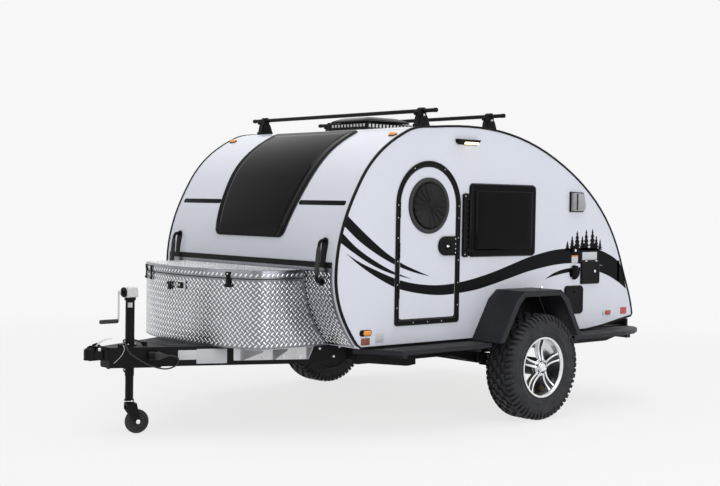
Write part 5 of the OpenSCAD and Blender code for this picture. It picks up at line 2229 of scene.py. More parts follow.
@dataclass
class StorageBox:
    """The chequer-plate box on the tongue with its lid, latches and brackets."""

    half: float = 0.66
    front: float = 2.15
    bow: float = 0.15
    corner: float = 0.11
    low: float = 0.556
    lid_low: float = 0.993
    top: float = 1.044
    lid_rear: float = 1.656
    chequer: Chequer = field(default_factory=Chequer)

    def build(self) -> None:
        """Makes the box, its lid and its fittings."""
        dress("storage_box", CHEQUER, 0.0012)
        dress("storage_box_floor", CHEQUER, 0.0008)
        self.lid()
        self.lugs()
        self.edging()
        self.latches()
        self.brackets()
        self.handles()

    def plan(self, out: float) -> list[Point2]:
        """The plan from the rear left corner round the front, moved out, as ahead and left.

        Args:
            out: How far it is moved out.

        Returns:
            The plan's points.
        """
        radius = (self.half ** 2 + self.bow ** 2) / (2 * self.bow)
        hub, corner_y = self.front - radius, self.half - self.corner
        corner_x = hub + math.sqrt((radius - self.corner) ** 2 - corner_y ** 2)
        lean = math.atan2(corner_y, corner_x - hub)
        quarter = [
            (corner_x + (self.corner + out) * math.cos(t), corner_y + (self.corner + out) * math.sin(t))
            for t in [math.pi / 2 + (lean - math.pi / 2) * k / 12 for k in range(13)]
        ]
        bow = [
            (hub + (radius + out) * math.cos(t), (radius + out) * math.sin(t))
            for t in [lean * (1 - k / 40) for k in range(1, 40)]
        ]
        left = [(1.4, self.half + out), (1.6, self.half + out), (1.8, self.half + out), *quarter, *bow]
        return left + [(hub + radius + out, 0.0)] + [(x, -y) for x, y in left[::-1]]

    def lid(self) -> None:
        """The lid: a shallow tray, folded down round its rim."""
        rim = self.plan(0.006)
        outline = [
            (self.lid_rear, self.half + 0.006), *[p for p in rim if p[0] > self.lid_rear + 0.001],
            (self.lid_rear, -self.half - 0.006)
        ][::-1]
        low, top = self.lid_low, self.top
        levels = (
            (0.0045, top - 0.004), (0.0045, low + 0.001), (0.0006, low), (0.0, low + 0.0008),
            (0.0, top - 0.0036), (0.0011, top - 0.0011), (0.0038, top),
        )
        rings = [[(ahead(u), v, z) for u, v in inset(outline, depth)] for depth, z in levels]
        make_piece("lid_tray", Shape().loft(rings), CHEQUER, "box_lid", ["storage_box_lid"])

    def wrap(self, out: float) -> tuple[Callable[[float, float, float], Sequence[float]], float]:
        """A sheet round the plan.

        Args:
            out: How far outside the plan it lies.

        Returns:
            The call that turns sheet places into places, and the sheet's length.
        """
        line = [Vector(p) for p in self.plan(out)]
        lengths = [0.0]
        for a, b in zip(line, line[1:]):
            lengths.append(lengths[-1] + (b - a).length)

        def place(u: float, v: float, high: float) -> Sequence[float]:
            """A place on the sheet: u round from the left, v up.

            Args:
                u: The length round from the left.
                v: The height.
                high: The distance off the sheet.

            Returns:
                The place in the row frame.
            """
            k = min(max(1, sum(1 for length in lengths if length < u)), len(lengths) - 1)
            a, b = line[k - 1], line[k]
            share = (u - lengths[k - 1]) / (lengths[k] - lengths[k - 1])
            normals = [self.normal(line, j) for j in (k - 1, k)]
            here = a + share * (b - a) + high * normals[0].lerp(normals[1], share).normalized()
            return (ahead(here.x), here.y, v)

        return place, lengths[-1]

    def normal(self, line: Sequence[Vector], k: int) -> Vector:
        """The outward direction at a corner of a plan line."""
        way = line[min(k + 1, len(line) - 1)] - line[max(k - 1, 0)]
        return Vector((-way.y, way.x)).normalized()

    def lugs(self) -> None:
        """Chequer lugs on the box, on the lid's skirt and on its top."""
        place, length = self.wrap(0.0)

        def clear_of_body(u: float, v: float) -> bool:
            """Whether a lug on the box stands ahead of the cabin.

            Args:
                u: The length round the box.
                v: The height.

            Returns:
                Whether it does.
            """
            here = place(u, v, 0.0)
            nose = min(BODY_LINE.spots(0.0, 1.2, 60), key=lambda s: abs(BODY_LINE.point(s).y - v))
            return here[0] > ahead(BODY_LINE.point(nose).x + 0.026)

        make_piece(
            "box_lugs",
            self.chequer.cover(
                (0.0, length), (self.low + 0.002, self.lid_low - 0.004), place, clear_of_body
            ),
            LUG
        )
        place, length = self.wrap(0.006)
        skirt = self.chequer.cover((0.262, length - 0.262), (self.lid_low + 0.001, self.top - 0.003), place)

        def on_lid(u: float, v: float, high: float) -> Sequence[float]:
            """A place on the lid's top."""
            return (ahead(u), v, self.top + high)

        radius = (self.half ** 2 + self.bow ** 2) / (2 * self.bow)

        def within(u: float, v: float) -> bool:
            """Whether a place lies inside the lid's rim.

            Args:
                u: The place ahead of the axle.
                v: The distance to the left.

            Returns:
                Whether it does.
            """
            bowed = math.hypot(u - (self.front - radius), v) < radius - 0.012
            corner_x = self.front - radius + math.sqrt(
                (radius - self.corner) ** 2 - (self.half - self.corner) ** 2
            )
            over = u > corner_x and abs(v) > self.half - self.corner
            return bowed and (
                not over or math.hypot(u - corner_x, abs(v) - self.half + self.corner) < self.corner - 0.012
            )

        top = self.chequer.cover(
            (self.lid_rear + 0.01, self.front), (-self.half + 0.004, self.half - 0.004), on_lid, within
        )
        for p in top.points:
            p.z = min(p.z, self.top + self.chequer.height)
        make_piece("lid_lugs", skirt.add(top), LUG, "box_lid")

    def edging(self) -> None:
        """The rubber seal under the lid, and the piano hinge along its rear."""
        place, length = self.wrap(0.0035)
        count = 120
        path = [
            place(0.27 + (length - 0.54) * k / count, self.lid_low - 0.0035, 0.0) for k in range(count + 1)
        ]
        make_piece("lid_seal", Shape().tube(path, 0.0034, 8), RUBBER)
        hinge = Shape()
        for k in range(21):
            y = -0.609 + 0.058 * k
            hinge.turned(
                [(0.003, 0.0), (0.0036, 0.0006), (0.0036, 0.0564), (0.003, 0.057)],
                (ahead(1.652), y, 1.0395), (0, 1, 0), 12
            )
        make_piece("lid_hinge", hinge, ZINC)

    def latches(self) -> None:
        """Rubber straps with T-handles, and the keyed hasp in the middle."""
        place, _ = self.wrap(0.006)

        def sheet(middle: float, drop: float = 0.0) -> Callable[[float, float, float], Sequence[float]]:
            """Places about a length round the box, sunk towards it by a drop."""
            return lambda a, b, high: place(middle + a, b, high - drop)

        straps, bright = Shape(), Shape()
        rivet_z = 1.018
        for y, wide in ((0.452, 0.03), (-0.555, 0.022), (-0.425, 0.022)):
            put = sheet(self.along(y))
            straps.slab(
                rounded(wide, 0.096, 0.007, 4, (0.0, 0.982)),
                [(0.0, 0.0004), (0.0, 0.006), (0.003, 0.0088)], put
            )
            straps.slab(
                rounded(wide * 1.7, 0.018, 0.008, 5, (0.0, 0.945)),
                [(0.0, 0.0006), (0.0, 0.0105), (0.003, 0.0135)], put
            )
            straps.slab(
                rounded(wide * 1.25, 0.026, 0.006, 4, (0.0, rivet_z)),
                [(0.0, 0.0006), (0.0, 0.0095), (0.003, 0.012)], put
            )
            bright.turned(
                [(0.005, 0.0), (0.005, 0.0015), (0.0035, 0.0028)], put(0.0, rivet_z, 0.0118),
                Vector(put(0.0, rivet_z, 1.0)) - Vector(put(0.0, rivet_z, 0.0)), 12
            )
        put = sheet(self.along(-0.1))
        straps.slab(
            rounded(0.034, 0.052, 0.006, 4, (0.0, 0.916)), [(0.0, 0.0004), (0.0, 0.009), (0.003, 0.012)],
            put
        )
        straps.slab(
            rounded(0.056, 0.016, 0.006, 4, (0.0, 0.932)), [(0.0, 0.009), (0.0, 0.014), (0.002, 0.0165)],
            put
        )
        on_hasp = sheet(self.along(0.032))
        hasp = Shape().slab(
            rounded(0.086, 0.062, 0.006, 4, (0.0, 0.924)), [(0.0, 0.0), (0.0, 0.0018), (0.0015, 0.003)],
            on_hasp
        )
        straps.slab(
            rounded(0.048, 0.04, 0.006, 4, (0.006, 0.924)), [(0.0, 0.002), (0.0, 0.01), (0.003, 0.0128)],
            on_hasp
        )
        hasp.turned(
            [(0.0075, 0.0), (0.0075, 0.002), (0.006, 0.0035), (0.0022, 0.0035)],
            on_hasp(0.006, 0.926, 0.0126), Vector(on_hasp(0, 0.926, 1.0)) - Vector(on_hasp(0, 0.926, 0.0)),
            16
        )
        hasp.slab(
            circle(0.0165, 24, (0.0, 0.866)), [(0.0, 0.0004), (0.0, 0.002), (0.001, 0.0026)],
            sheet(self.along(-0.094), 0.005)
        )
        make_piece("lid_straps", straps, TRIM, "box_lid", ["lid_latches"], bevel=0.001)
        make_piece("lid_strap_rivets", bright, CHROME, "box_lid")
        make_piece("box_hasp", hasp, ZINC, bevel=0.0005)

    def along(self, y: float) -> float:
        """The length round the sheet to a place on the front, by its distance to the left.

        Args:
            y: The distance to the left.

        Returns:
            The length round the sheet.
        """
        line = [Vector(p) for p in self.plan(0.006)]
        total, best, found = 0.0, 9.0, 0.0
        for a, b in zip(line, line[1:]):
            total += (b - a).length
            if b.x > 1.9 and abs(b.y - y) < best:
                best, found = abs(b.y - y), total
        return found

    def brackets(self) -> None:
        """The aluminium brackets, in a brushed finish."""
        dress("box_brackets", BRUSHED, 0.001)

    def handles(self) -> None:
        """The two grab handles: an outer loop, a padded grip and a foot plate."""
        low = BODY_LINE.point(0.866)
        high = BODY_LINE.point(1.376)
        shape, grip = Shape(), Shape()
        way = (high - low).normalized()
        out = Vector((way.y, -way.x))
        mid = (low + high) / 2
        reach = (high - low).length / 2 - 0.004

        def put(a: float, b: float, y: float) -> Sequence[float]:
            """A place by the handle: a up along it, b off the skin."""
            p = mid + a * way + b * out
            return (ahead(p.x), y, p.y)

        base = rounded(2 * reach + 0.004, 0.06, 0.0295, 8)
        level = 0.82
        shape.loft(
            [
                [put(a, b, level + y) for a, y in inset(base, depth)]
                for depth, b in ((0.0, 0.0062), (0.0, 0.01), (0.004, 0.014))
            ]
        )
        knots = (
            (-reach + 0.03, 0.012), (-reach + 0.02, 0.03), (-reach + 0.034, 0.05), (-reach * 0.5, 0.0545),
            (0.0, 0.0555),
            (reach * 0.5, 0.0545), (reach - 0.034, 0.05), (reach - 0.02, 0.03), (reach - 0.03, 0.012),
        )
        path = smooth_line(knots, 5)
        shape.tube([put(a, b, level) for a, b in path], 0.0105, 14)
        bar = [put(a, 0.055, level) for a in [-reach * 0.6 + reach * 1.2 * k / 14 for k in range(15)]]
        grip.tube(bar, [0.011, 0.013, 0.0145] + [0.015] * 9 + [0.0145, 0.013, 0.011], 16)
        make_piece("handle_loops", shape.both(), TRIM, replaces=["grab_handles"], bevel=0.002)
        make_piece("handle_grips", grip.both(), RUBBER)


# ---- Tongue -----------------------------------------------------------------------------


@dataclass
class Tongue:
    """The A-frame's nose with its coupler, jack, castor and fittings."""

    jack: float = 2.515
    ball: float = 2.795
    wheel_r: float = 0.076
    castor_turn: float = 165.0
    castor_trail: float = 0.05
    rail_angle: float = 24.87

    def build(self) -> None:
        """Dresses the steelwork and makes the fittings."""
        for node in ("main_frame", "tongue_frame"):
            dress(node, POWDER, 0.0035)
        dress("plug_holder", TRIM, 0.0012)
        self.coupler()
        self.jack_tube()
        self.jack_head()
        self.castor()
        self.rail_fittings()

    def coupler(self) -> None:
        """The stamped coupler: a domed cap, ribbed sides, a latch and its lever."""
        dress("coupler", POWDER, 0.005)
        x, shape, bright = ahead(self.ball), Shape(), Shape()
        shape.turned(
            [
                (0.0335, 0.544), (0.0345, 0.545), (0.03, 0.552), (0.022, 0.5565), (0.01, 0.5585),
                (0.0, 0.5588)
            ],
            (x, 0, 0), (0, 0, 1), 32
        )
        for side in (-1, 1):
            plate = [
                (x - 0.112, 0.486), (x - 0.03, 0.486), (x - 0.01, 0.5), (x - 0.014, 0.53),
                (x - 0.034, 0.566), (x - 0.062, 0.57), (x - 0.088, 0.552), (x - 0.112, 0.548)
            ]
            ys = (0.0335, 0.0375) if side > 0 else (-0.0375, -0.0335)
            shape.loft([[(u, y, v) for u, v in plate] for y in (ys if side < 0 else ys[::-1])][::-1])
            for u, v, r in ((-0.046, 0.548, 0.007), (-0.09, 0.52, 0.005)):
                bright.bolt((x + u, side * 0.0372, v), (0, side, 0), r, 0.006)
        shape.block((x - 0.14, -0.03, 0.48), (x + 0.014, 0.03, 0.486))
        shape.tube(
            [
                (x - 0.02, -0.01, 0.556), (x - 0.03, -0.01, 0.572), (x - 0.052, -0.01, 0.578),
                (x - 0.072, -0.01, 0.566), (x - 0.076, -0.01, 0.55)
            ],
            0.0075, 12
        )
        shape.block((x - 0.078, -0.018, 0.545), (x - 0.03, 0.018, 0.5625))
        hook = [
            (x + 0.018, 0.0, 0.532), (x + 0.022, 0.0, 0.546), (x + 0.01, 0.0, 0.562), (x - 0.01, 0.0, 0.567)
        ]
        shape.tube(hook, 0.0065, 12)
        lever, width, thick = [], 0.0125, 0.0026
        for u, v in smooth_line(
            ((-0.04, 0.566), (-0.062, 0.584), (-0.092, 0.599), (-0.124, 0.606), (-0.152, 0.605)), 6
        ):
            lever.append((x + u, v))
        rings = []
        for k, (u, v) in enumerate(lever):
            w = width * (0.55 + 0.45 * math.sin(math.pi * min(1.0, k / (len(lever) - 1) + 0.12)))
            rings.append(
                [
                    (u, -w, v - 0.0035), (u, -w, v), (u, -w + thick, v + 0.001), (u, w - thick, v + 0.001),
                    (u, w, v), (u, w, v - 0.0035), (u, w - thick, v - 0.0018), (u, -w + thick, v - 0.0018)
                ]
            )
        lever_shape = Shape().loft(rings)
        make_piece("coupler_stamping", shape, POWDER, bevel=0.0014)
        make_piece("coupler_lever", lever_shape, HEAD_PAINT, replaces=["coupler_latch"], bevel=0.0008)
        make_piece("coupler_bolts", bright, ZINC)

    def jack_tube(self) -> None:
        """The jack's outer and inner tube, its collar, pin and seams."""
        dress("jack_tube", POWDER, 0.0018)
        dress("jack_leg", POWDER, 0.0016)
        x, rings, pin = ahead(self.jack), Shape(), Shape()
        for low, high, r in ((0.5, 0.506, 0.0312), (0.838, 0.857, 0.0312)):
            rings.turned(
                [(0.0284, low), (r, low + 0.001), (r, high - 0.001), (0.0284, high)], (x, 0, 0), (0, 0, 1),
                40
            )
        for k in range(4):
            turn = math.radians(45 + 90 * k)
            pin.bolt((x + 0.0345 * math.cos(turn), 0.0345 * math.sin(turn), 0.564), (0, 0, 1), 0.0052, 0.006)
        make_piece("jack_collars", rings, POWDER)
        foot = Shape().turned(
            [(0.0254, 0.213), (0.03, 0.2134), (0.0302, 0.219), (0.0256, 0.2196)], (x, 0, 0), (0, 0, 1), 40
        )
        make_piece("leg_collar", foot, POWDER, "jack_leg")
        make_piece("jack_bolts", pin, ZINC)
        clip = Shape()
        clip.tube(
            [
                (x - 0.0385, -0.012, 0.209), (x - 0.02, 0.029, 0.211), (x + 0.01, 0.0335, 0.21),
                (x + 0.034, 0.02, 0.209), (x + 0.0405, 0.004, 0.2075)
            ],
            0.0022, 8
        )
        clip.tube(
            [
                (x + 0.0405, 0.004, 0.2075), (x + 0.0425, -0.008, 0.206), (x + 0.0385, -0.018, 0.205),
                (x + 0.032, -0.012, 0.2055)
            ],
            0.0019, 8
        )
        clip.turned([(0.006, 0.0), (0.006, 0.003), (0.0045, 0.0045)], (x, 0.0298, 0.2095), (0, 1, 0), 14)
        make_piece("leg_pin_clip", clip, CHROME, "jack_leg")

    def jack_head(self) -> None:
        """The gear head with its black face, the bent crank and its ribbed grip."""
        x = ahead(self.jack)
        head = Shape()
        profile = [
            (-0.04, 0.8575), (0.04, 0.8575), (0.04, 0.906), (0.03, 0.918), (0.012, 0.9225),
            (-0.024, 0.9225), (-0.036, 0.915), (-0.04, 0.904)
        ]
        head.loft(
            [
                [(x + u, y, v) for u, v in inset(profile, d)]
                for y, d in ((0.0345, 0.004), (0.03, 0.0), (-0.03, 0.0), (-0.0345, 0.004))
            ]
        )
        make_piece("jack_gear_case", head, HEAD_PAINT, replaces=["jack_head"], bevel=0.0015)
        face = Shape().turned(
            [
                (0.0305, 0.04), (0.0315, 0.0415), (0.0315, 0.05), (0.029, 0.054), (0.018, 0.0555),
                (0.016, 0.059), (0.012, 0.06)
            ],
            (x, 0, 0.89), (1, 0, 0), 32
        )
        face.turned(
            [(0.0085, 0.059), (0.009, 0.06), (0.009, 0.08), (0.0078, 0.0815)], (x, 0, 0.89), (1, 0, 0), 20
        )
        face.turned(
            [(0.0345, 0.839), (0.0355, 0.84), (0.0355, 0.857), (0.034, 0.858)], (x, 0, 0), (0, 0, 1), 32
        )
        make_piece("jack_gear_face", face, TRIM, bevel=0.0008)
        arm = Shape()
        knots = (
            (0.07, 0.8985), (0.0785, 0.8985), (0.0815, 0.89), (0.0815, 0.845), (0.0815, 0.79),
            (0.0815, 0.742), (0.083, 0.718), (0.088, 0.7135), (0.098, 0.7125)
        )
        arm.tube([(x + u, 0.0, v) for u, v in smooth_line(knots, 4)], 0.0058, 14)
        arm.turned(
            [(0.0105, 0.0), (0.011, 0.001), (0.011, 0.0095), (0.0095, 0.0105)], (x + 0.072, 0, 0.89),
            (1, 0, 0), 20
        )
        for dz in (-0.0135, 0.0135):
            arm.bolt((x + 0.0402, 0.018, 0.89 + dz * 1.2), (1, 0, 0), 0.0034, 0.003)
        for u, v in ((-0.026, 0.874), (0.026, 0.874), (0.0, 0.908)):
            arm.screw((x + u, 0.0344, v), (0, 1, 0), 0.0042)
            arm.screw((x + u, -0.0344, v), (0, -1, 0), 0.0042)
        make_piece("jack_crank", arm, HEAD_PAINT)
        grip = [(0.009, 0.0), (0.0125, 0.002)]
        for k in range(9):
            low = 0.004 + 0.0128 * k
            grip += [(0.0132, low), (0.0132, low + 0.009), (0.012, low + 0.0105), (0.012, low + 0.012)]
        grip += [(0.0132, 0.1205), (0.012, 0.124), (0.006, 0.125)]
        make_piece(
            "jack_grip", Shape().turned(grip, (x + 0.086, 0, 0.712), (1, 0, 0), 22), RUBBER, bevel=0.0004
        )
        def on_tube(u: float, v: float, high: float) -> Sequence[float]:
            """A place on the tube: u round it, v up."""
            turn = math.radians(60) + u / 0.0286
            return (x + (0.0286 + high) * math.cos(turn), (0.0286 + high) * math.sin(turn), v)

        rows = [0.796 + 0.03 * k / 3 for k in range(4)]
        columns = [-0.015 + 0.03 * k / 10 for k in range(11)]
        label = Shape()
        for low, high in zip(rows, rows[1:]):
            label.loft(
                [
                    [
                        on_tube(u, v, out)
                        for v, out in ((low, 0.0002), (high, 0.0002), (high, 0.0007), (low, 0.0007))
                    ]
                    for u in columns
                ]
            )
        make_piece("jack_blank_label", label, PLATE_WHITE)

    def castor(self) -> None:
        """The castor's fork and its solid wheel with a recessed face."""
        dress("castor_fork", POWDER, 0.0016)
        turn = math.radians(self.castor_turn)
        out = Vector((-math.sin(turn), math.cos(turn), 0))
        hub = Vector(
            (
                ahead(self.jack) + self.castor_trail * math.cos(turn), self.castor_trail * math.sin(turn),
                self.wheel_r
            )
        )
        r = self.wheel_r
        profile = [
            (0.0082, 0.0225), (0.018, 0.0225), (0.019, 0.021), (0.02, 0.014), (0.03, 0.013), (0.052, 0.013),
            (0.0545, 0.015),
            (0.056, 0.0205), (0.0585, 0.0218), (0.064, 0.022), (0.069, 0.02), (0.0735, 0.015),
            (0.0755, 0.008), (r, 0.0),
        ]
        full = profile + [(a, -b) for a, b in profile[::-1][1:]]
        wheel = Shape().turned(full, hub, out, 72, closed=True)
        for k in range(5):
            lean = math.tau * k / 5
            side = out.cross(Vector((0, 0, 1))).normalized()
            way = math.cos(lean) * side + math.sin(lean) * Vector((0, 0, 1))
            flat = out.cross(way)
            for face in (-1, 1):
                rings = []
                for a, w in ((0.0185, 0.0055), (0.0545, 0.004)):
                    rings.append(
                        [
                            hub + way * a + flat * dw + out * face * high
                            for dw, high in ((-w, 0.012), (w, 0.012), (w * 0.6, 0.0175), (-w * 0.6, 0.0175))
                        ]
                    )
                wheel.loft(rings if face > 0 else rings[::-1])
        make_piece("castor_tread", wheel, RUBBER, "castor_wheel", ["castor_wheel"], bevel=0.0008)
        nuts, race = Shape(), Shape()
        for face in (-1, 1):
            start = hub + out * face * 0.0326
            nuts.bolt(start, out * face, 0.009, 0.0075)
            nuts.turned([(0.005, 0.0), (0.005, 0.0105), (0.0035, 0.0115)], start, out * face, 14)
        make_piece("castor_nuts", nuts, CHROME, "castor")
        race.turned(
            [(0.0262, 0.1865), (0.0285, 0.1875), (0.0285, 0.1975), (0.025, 0.199)],
            (ahead(self.jack), 0, 0), (0, 0, 1), 32
        )
        make_piece("castor_race", race, POWDER, "castor")

    def on_rail(self, u: float, v: float, high: float) -> Sequence[float]:
        """A place on the left-hand rail's outer face: u ahead of the axle, v up, high off the face.

        Args:
            u: The place ahead of the axle.
            v: The height.
            high: The distance off the face.

        Returns:
            The place.
        """
        turn = math.radians(self.rail_angle)
        y = 0.055 + (2.69 - u) * 0.635 / 1.37
        return (ahead(u + high * math.sin(turn)), y + high * math.cos(turn), v)

    def rail_fittings(self) -> None:
        """Bolts, blank plates, chain loops and bracket webs along the tongue's rails."""
        bolts, plates, loops = Shape(), Shape(), Shape()
        turn = math.radians(self.rail_angle)
        out = Vector((math.sin(turn), math.cos(turn), 0))
        dark = Shape()
        for u, v in (
            (2.452, 0.53), (2.452, 0.462), (2.408, 0.53), (2.408, 0.462), (2.655, 0.535), (2.655, 0.45)
        ):
            dark.bolt(self.on_rail(u, v, 0.0004), out, 0.0072, 0.006)
        for u, v in ((1.48, 0.53), (1.395, 0.478), (1.36, 0.54)):
            bolts.bolt(self.on_rail(u, v, 0.0004), out, 0.0052, 0.005)
        for u in (1.6, 1.7, 1.82, 1.93):
            bolts.bolt(self.on_rail(u, 0.478, 0.0026), out, 0.007, 0.007)
        for w, h, at in ((0.175, 0.092, (2.115, 0.494)), (0.105, 0.06, (2.255, 0.504))):
            plates.slab(
                rounded(w, h, 0.005, 3, at), [(0.0, 0.0003), (0.0, 0.0012), (0.0005, 0.0015)], self.on_rail
            )
        for side in (1, -1):
            at = Vector(self.on_rail(2.6, 0.455, 0.004))
            ring = [
                at + Vector(
                    (
                        0.016 * math.cos(math.tau * k / 20), 0.004,
                        -0.034 + 0.016 * math.sin(math.tau * k / 20)
                    )
                )
                for k in range(20)
            ]
            ring = [Vector((p.x, side * p.y, p.z)) for p in ring]
            loops.tube(ring, 0.0042, 10, closed=True)
        bolts.both()
        gussets = Shape()
        for u in (1.62, 1.845):
            tri = [(u, 0.545), (u + 0.004, 0.466), (u + 0.15, 0.545)]
            gussets.slab(anticlockwise(tri), [(0.0, 0.0026), (0.0, 0.0052), (0.001, 0.0058)], self.on_rail)
        back = Shape().slab(
            rounded(0.44, 0.086, 0.006, 3, (1.77, 0.506)), [(0.0, 0.0004), (0.0, 0.002), (0.0008, 0.0026)],
            self.on_rail
        )
        make_piece("rail_bolts", bolts, ZINC)
        make_piece("nose_bolts", dark.both(), POWDER)
        make_piece("rail_blank_plates", plates, PLATE_WHITE)
        make_piece("chain_eyes", loops, POWDER)
        make_piece("bracket_webs", gussets.add(back).both(), BRUSHED, bevel=0.0008)


# ---- Running gear -----------------------------------------------------------------------


@dataclass
class Tyre:
    """An off-road tyre: carcass, centre blocks, shoulder lugs and sidewall bands."""

    radius: float = 0.366
    middle: float = 1.1295
    pitches: int = 28
    root: float = 0.3505
    carcass: tuple[Point2, ...] = (
        (0.1932, 0.088), (0.2, 0.095), (0.212, 0.1), (0.216, 0.104), (0.22, 0.1045), (0.225, 0.105),
        (0.242, 0.1105), (0.245, 0.1135), (0.25, 0.114), (0.254, 0.1125), (0.27, 0.1145), (0.288, 0.1152),
        (0.302, 0.114), (0.32, 0.1105), (0.334, 0.105), (0.344, 0.095), (0.349, 0.08), (0.3515, 0.055),
        (0.352, 0.0),
    )

    def place(self, turn: float, r: float, h: float) -> Vector:
        """A place on the left-hand wheel, by its angle, radius and distance outwards."""
        return Vector((AXLE_X + r * math.cos(turn), self.middle + h, self.radius + r * math.sin(turn)))

    def shape(self) -> Shape:
        """The left-hand tyre.

        Returns:
            The tyre's shape.
        """
        profile = [*self.carcass, *[(r, -h) for r, h in self.carcass[::-1][1:]]]
        shape = Shape().turned(
            [*profile, (0.193, -0.07), (0.193, 0.07)], (AXLE_X, self.middle, self.radius), (0, 1, 0), 120,
            closed=True
        )
        for k in range(self.pitches):
            self.pitch(shape, math.tau * k / self.pitches, k)
        return shape

    def block(self, shape: Shape, turn: float, outline: Sequence[Point2], top: float) -> None:
        """A tread block.

        Args:
            shape: The shape it is added to.
            turn: Its place round the tyre.
            outline: Its outline, round the tyre and across it, anticlockwise.
            top: How far its top lies under the full radius.
        """
        levels = (
            (-0.0012, self.root - 0.002), (0.0, self.radius - top - 0.0016), (0.0013, self.radius - top)
        )
        rings = []
        for depth, r in levels:
            rings.append(
                [
                    self.place(turn + u / self.radius, r - 1.15 * max(0.0, abs(v) - 0.035) ** 2 * 3, v)
                    for u, v in inset(outline, depth)
                ]
            )
        shape.loft(rings)

    def pitch(self, shape: Shape, turn: float, k: int) -> None:
        """One pitch of the tread: centre blocks, side blocks and shoulder lugs on both edges.

        Args:
            shape: The shape it is added to.
            turn: Its place round the tyre.
            k: Its number, which sets the long and short lugs.
        """
        step = math.tau * self.radius / self.pitches
        for side in (-1, 1):
            lag = turn + (0.5 * step / self.radius if side < 0 else 0.0)
            outer = [
                (-0.024, 0.004), (0.01, 0.0015), (0.026, 0.01), (0.024, 0.03), (0.008, 0.036),
                (-0.002, 0.029), (-0.012, 0.034), (-0.027, 0.026)
            ]
            second = [
                (-0.02, 0.044), (-0.002, 0.038), (0.022, 0.043), (0.025, 0.062), (0.012, 0.07),
                (-0.004, 0.064), (-0.024, 0.068), (-0.027, 0.056)
            ]
            for lift, outline in ((0.0, outer), (0.45 * step / self.radius, second)):
                points = [(u, side * v) for u, v in outline]
                self.block(shape, lag + lift, points if side > 0 else points[::-1], 0.0)
            long_lug = (k + (side > 0)) % 2 == 0
            self.shoulder(shape, lag, side, 0.0145 if long_lug else 0.012, long_lug)
            self.shoulder(shape, lag + 0.5 * step / self.radius, side, 0.0105, False)

    def shoulder(self, shape: Shape, turn: float, side: int, half: float, long_lug: bool) -> None:
        """A lug that wraps round the shoulder on to the sidewall.

        Args:
            shape: The shape it is added to.
            turn: Its place round the tyre.
            side: 1 for the outer edge, -1 for the inner one.
            half: Half of its width.
            long_lug: Whether it reaches far down the sidewall.
        """
        path = [
            (0.3655, 0.076, 0.348, 0.076), (0.3635, 0.088, 0.346, 0.086), (0.357, 0.101, 0.342, 0.095),
            (0.346, 0.11, 0.334, 0.103), (0.333, 0.115, 0.326, 0.108)
        ]
        path += [
            (0.318, 0.1172, 0.317, 0.11), (0.303, 0.1174, 0.302, 0.112)
        ] if long_lug else [(0.3255, 0.116, 0.324, 0.109)]
        rings = []
        for j, (r_out, h_out, r_in, h_in) in enumerate(path):
            w = half * (1.0 - 0.04 * j)
            lean = 0.0035 * j
            ring = [
                (-w, r_in, h_in), (-w, r_out - 0.0012, h_out - 0.0003), (-w + 0.0014, r_out, h_out),
                (w - 0.0014, r_out, h_out), (w, r_out - 0.0012, h_out - 0.0003), (w, r_in, h_in)
            ]
            rings.append([self.place(turn + (lean + u) / self.radius, r, side * h) for u, r, h in ring])
        shape.loft(rings if side < 0 else [ring[::-1] for ring in rings])


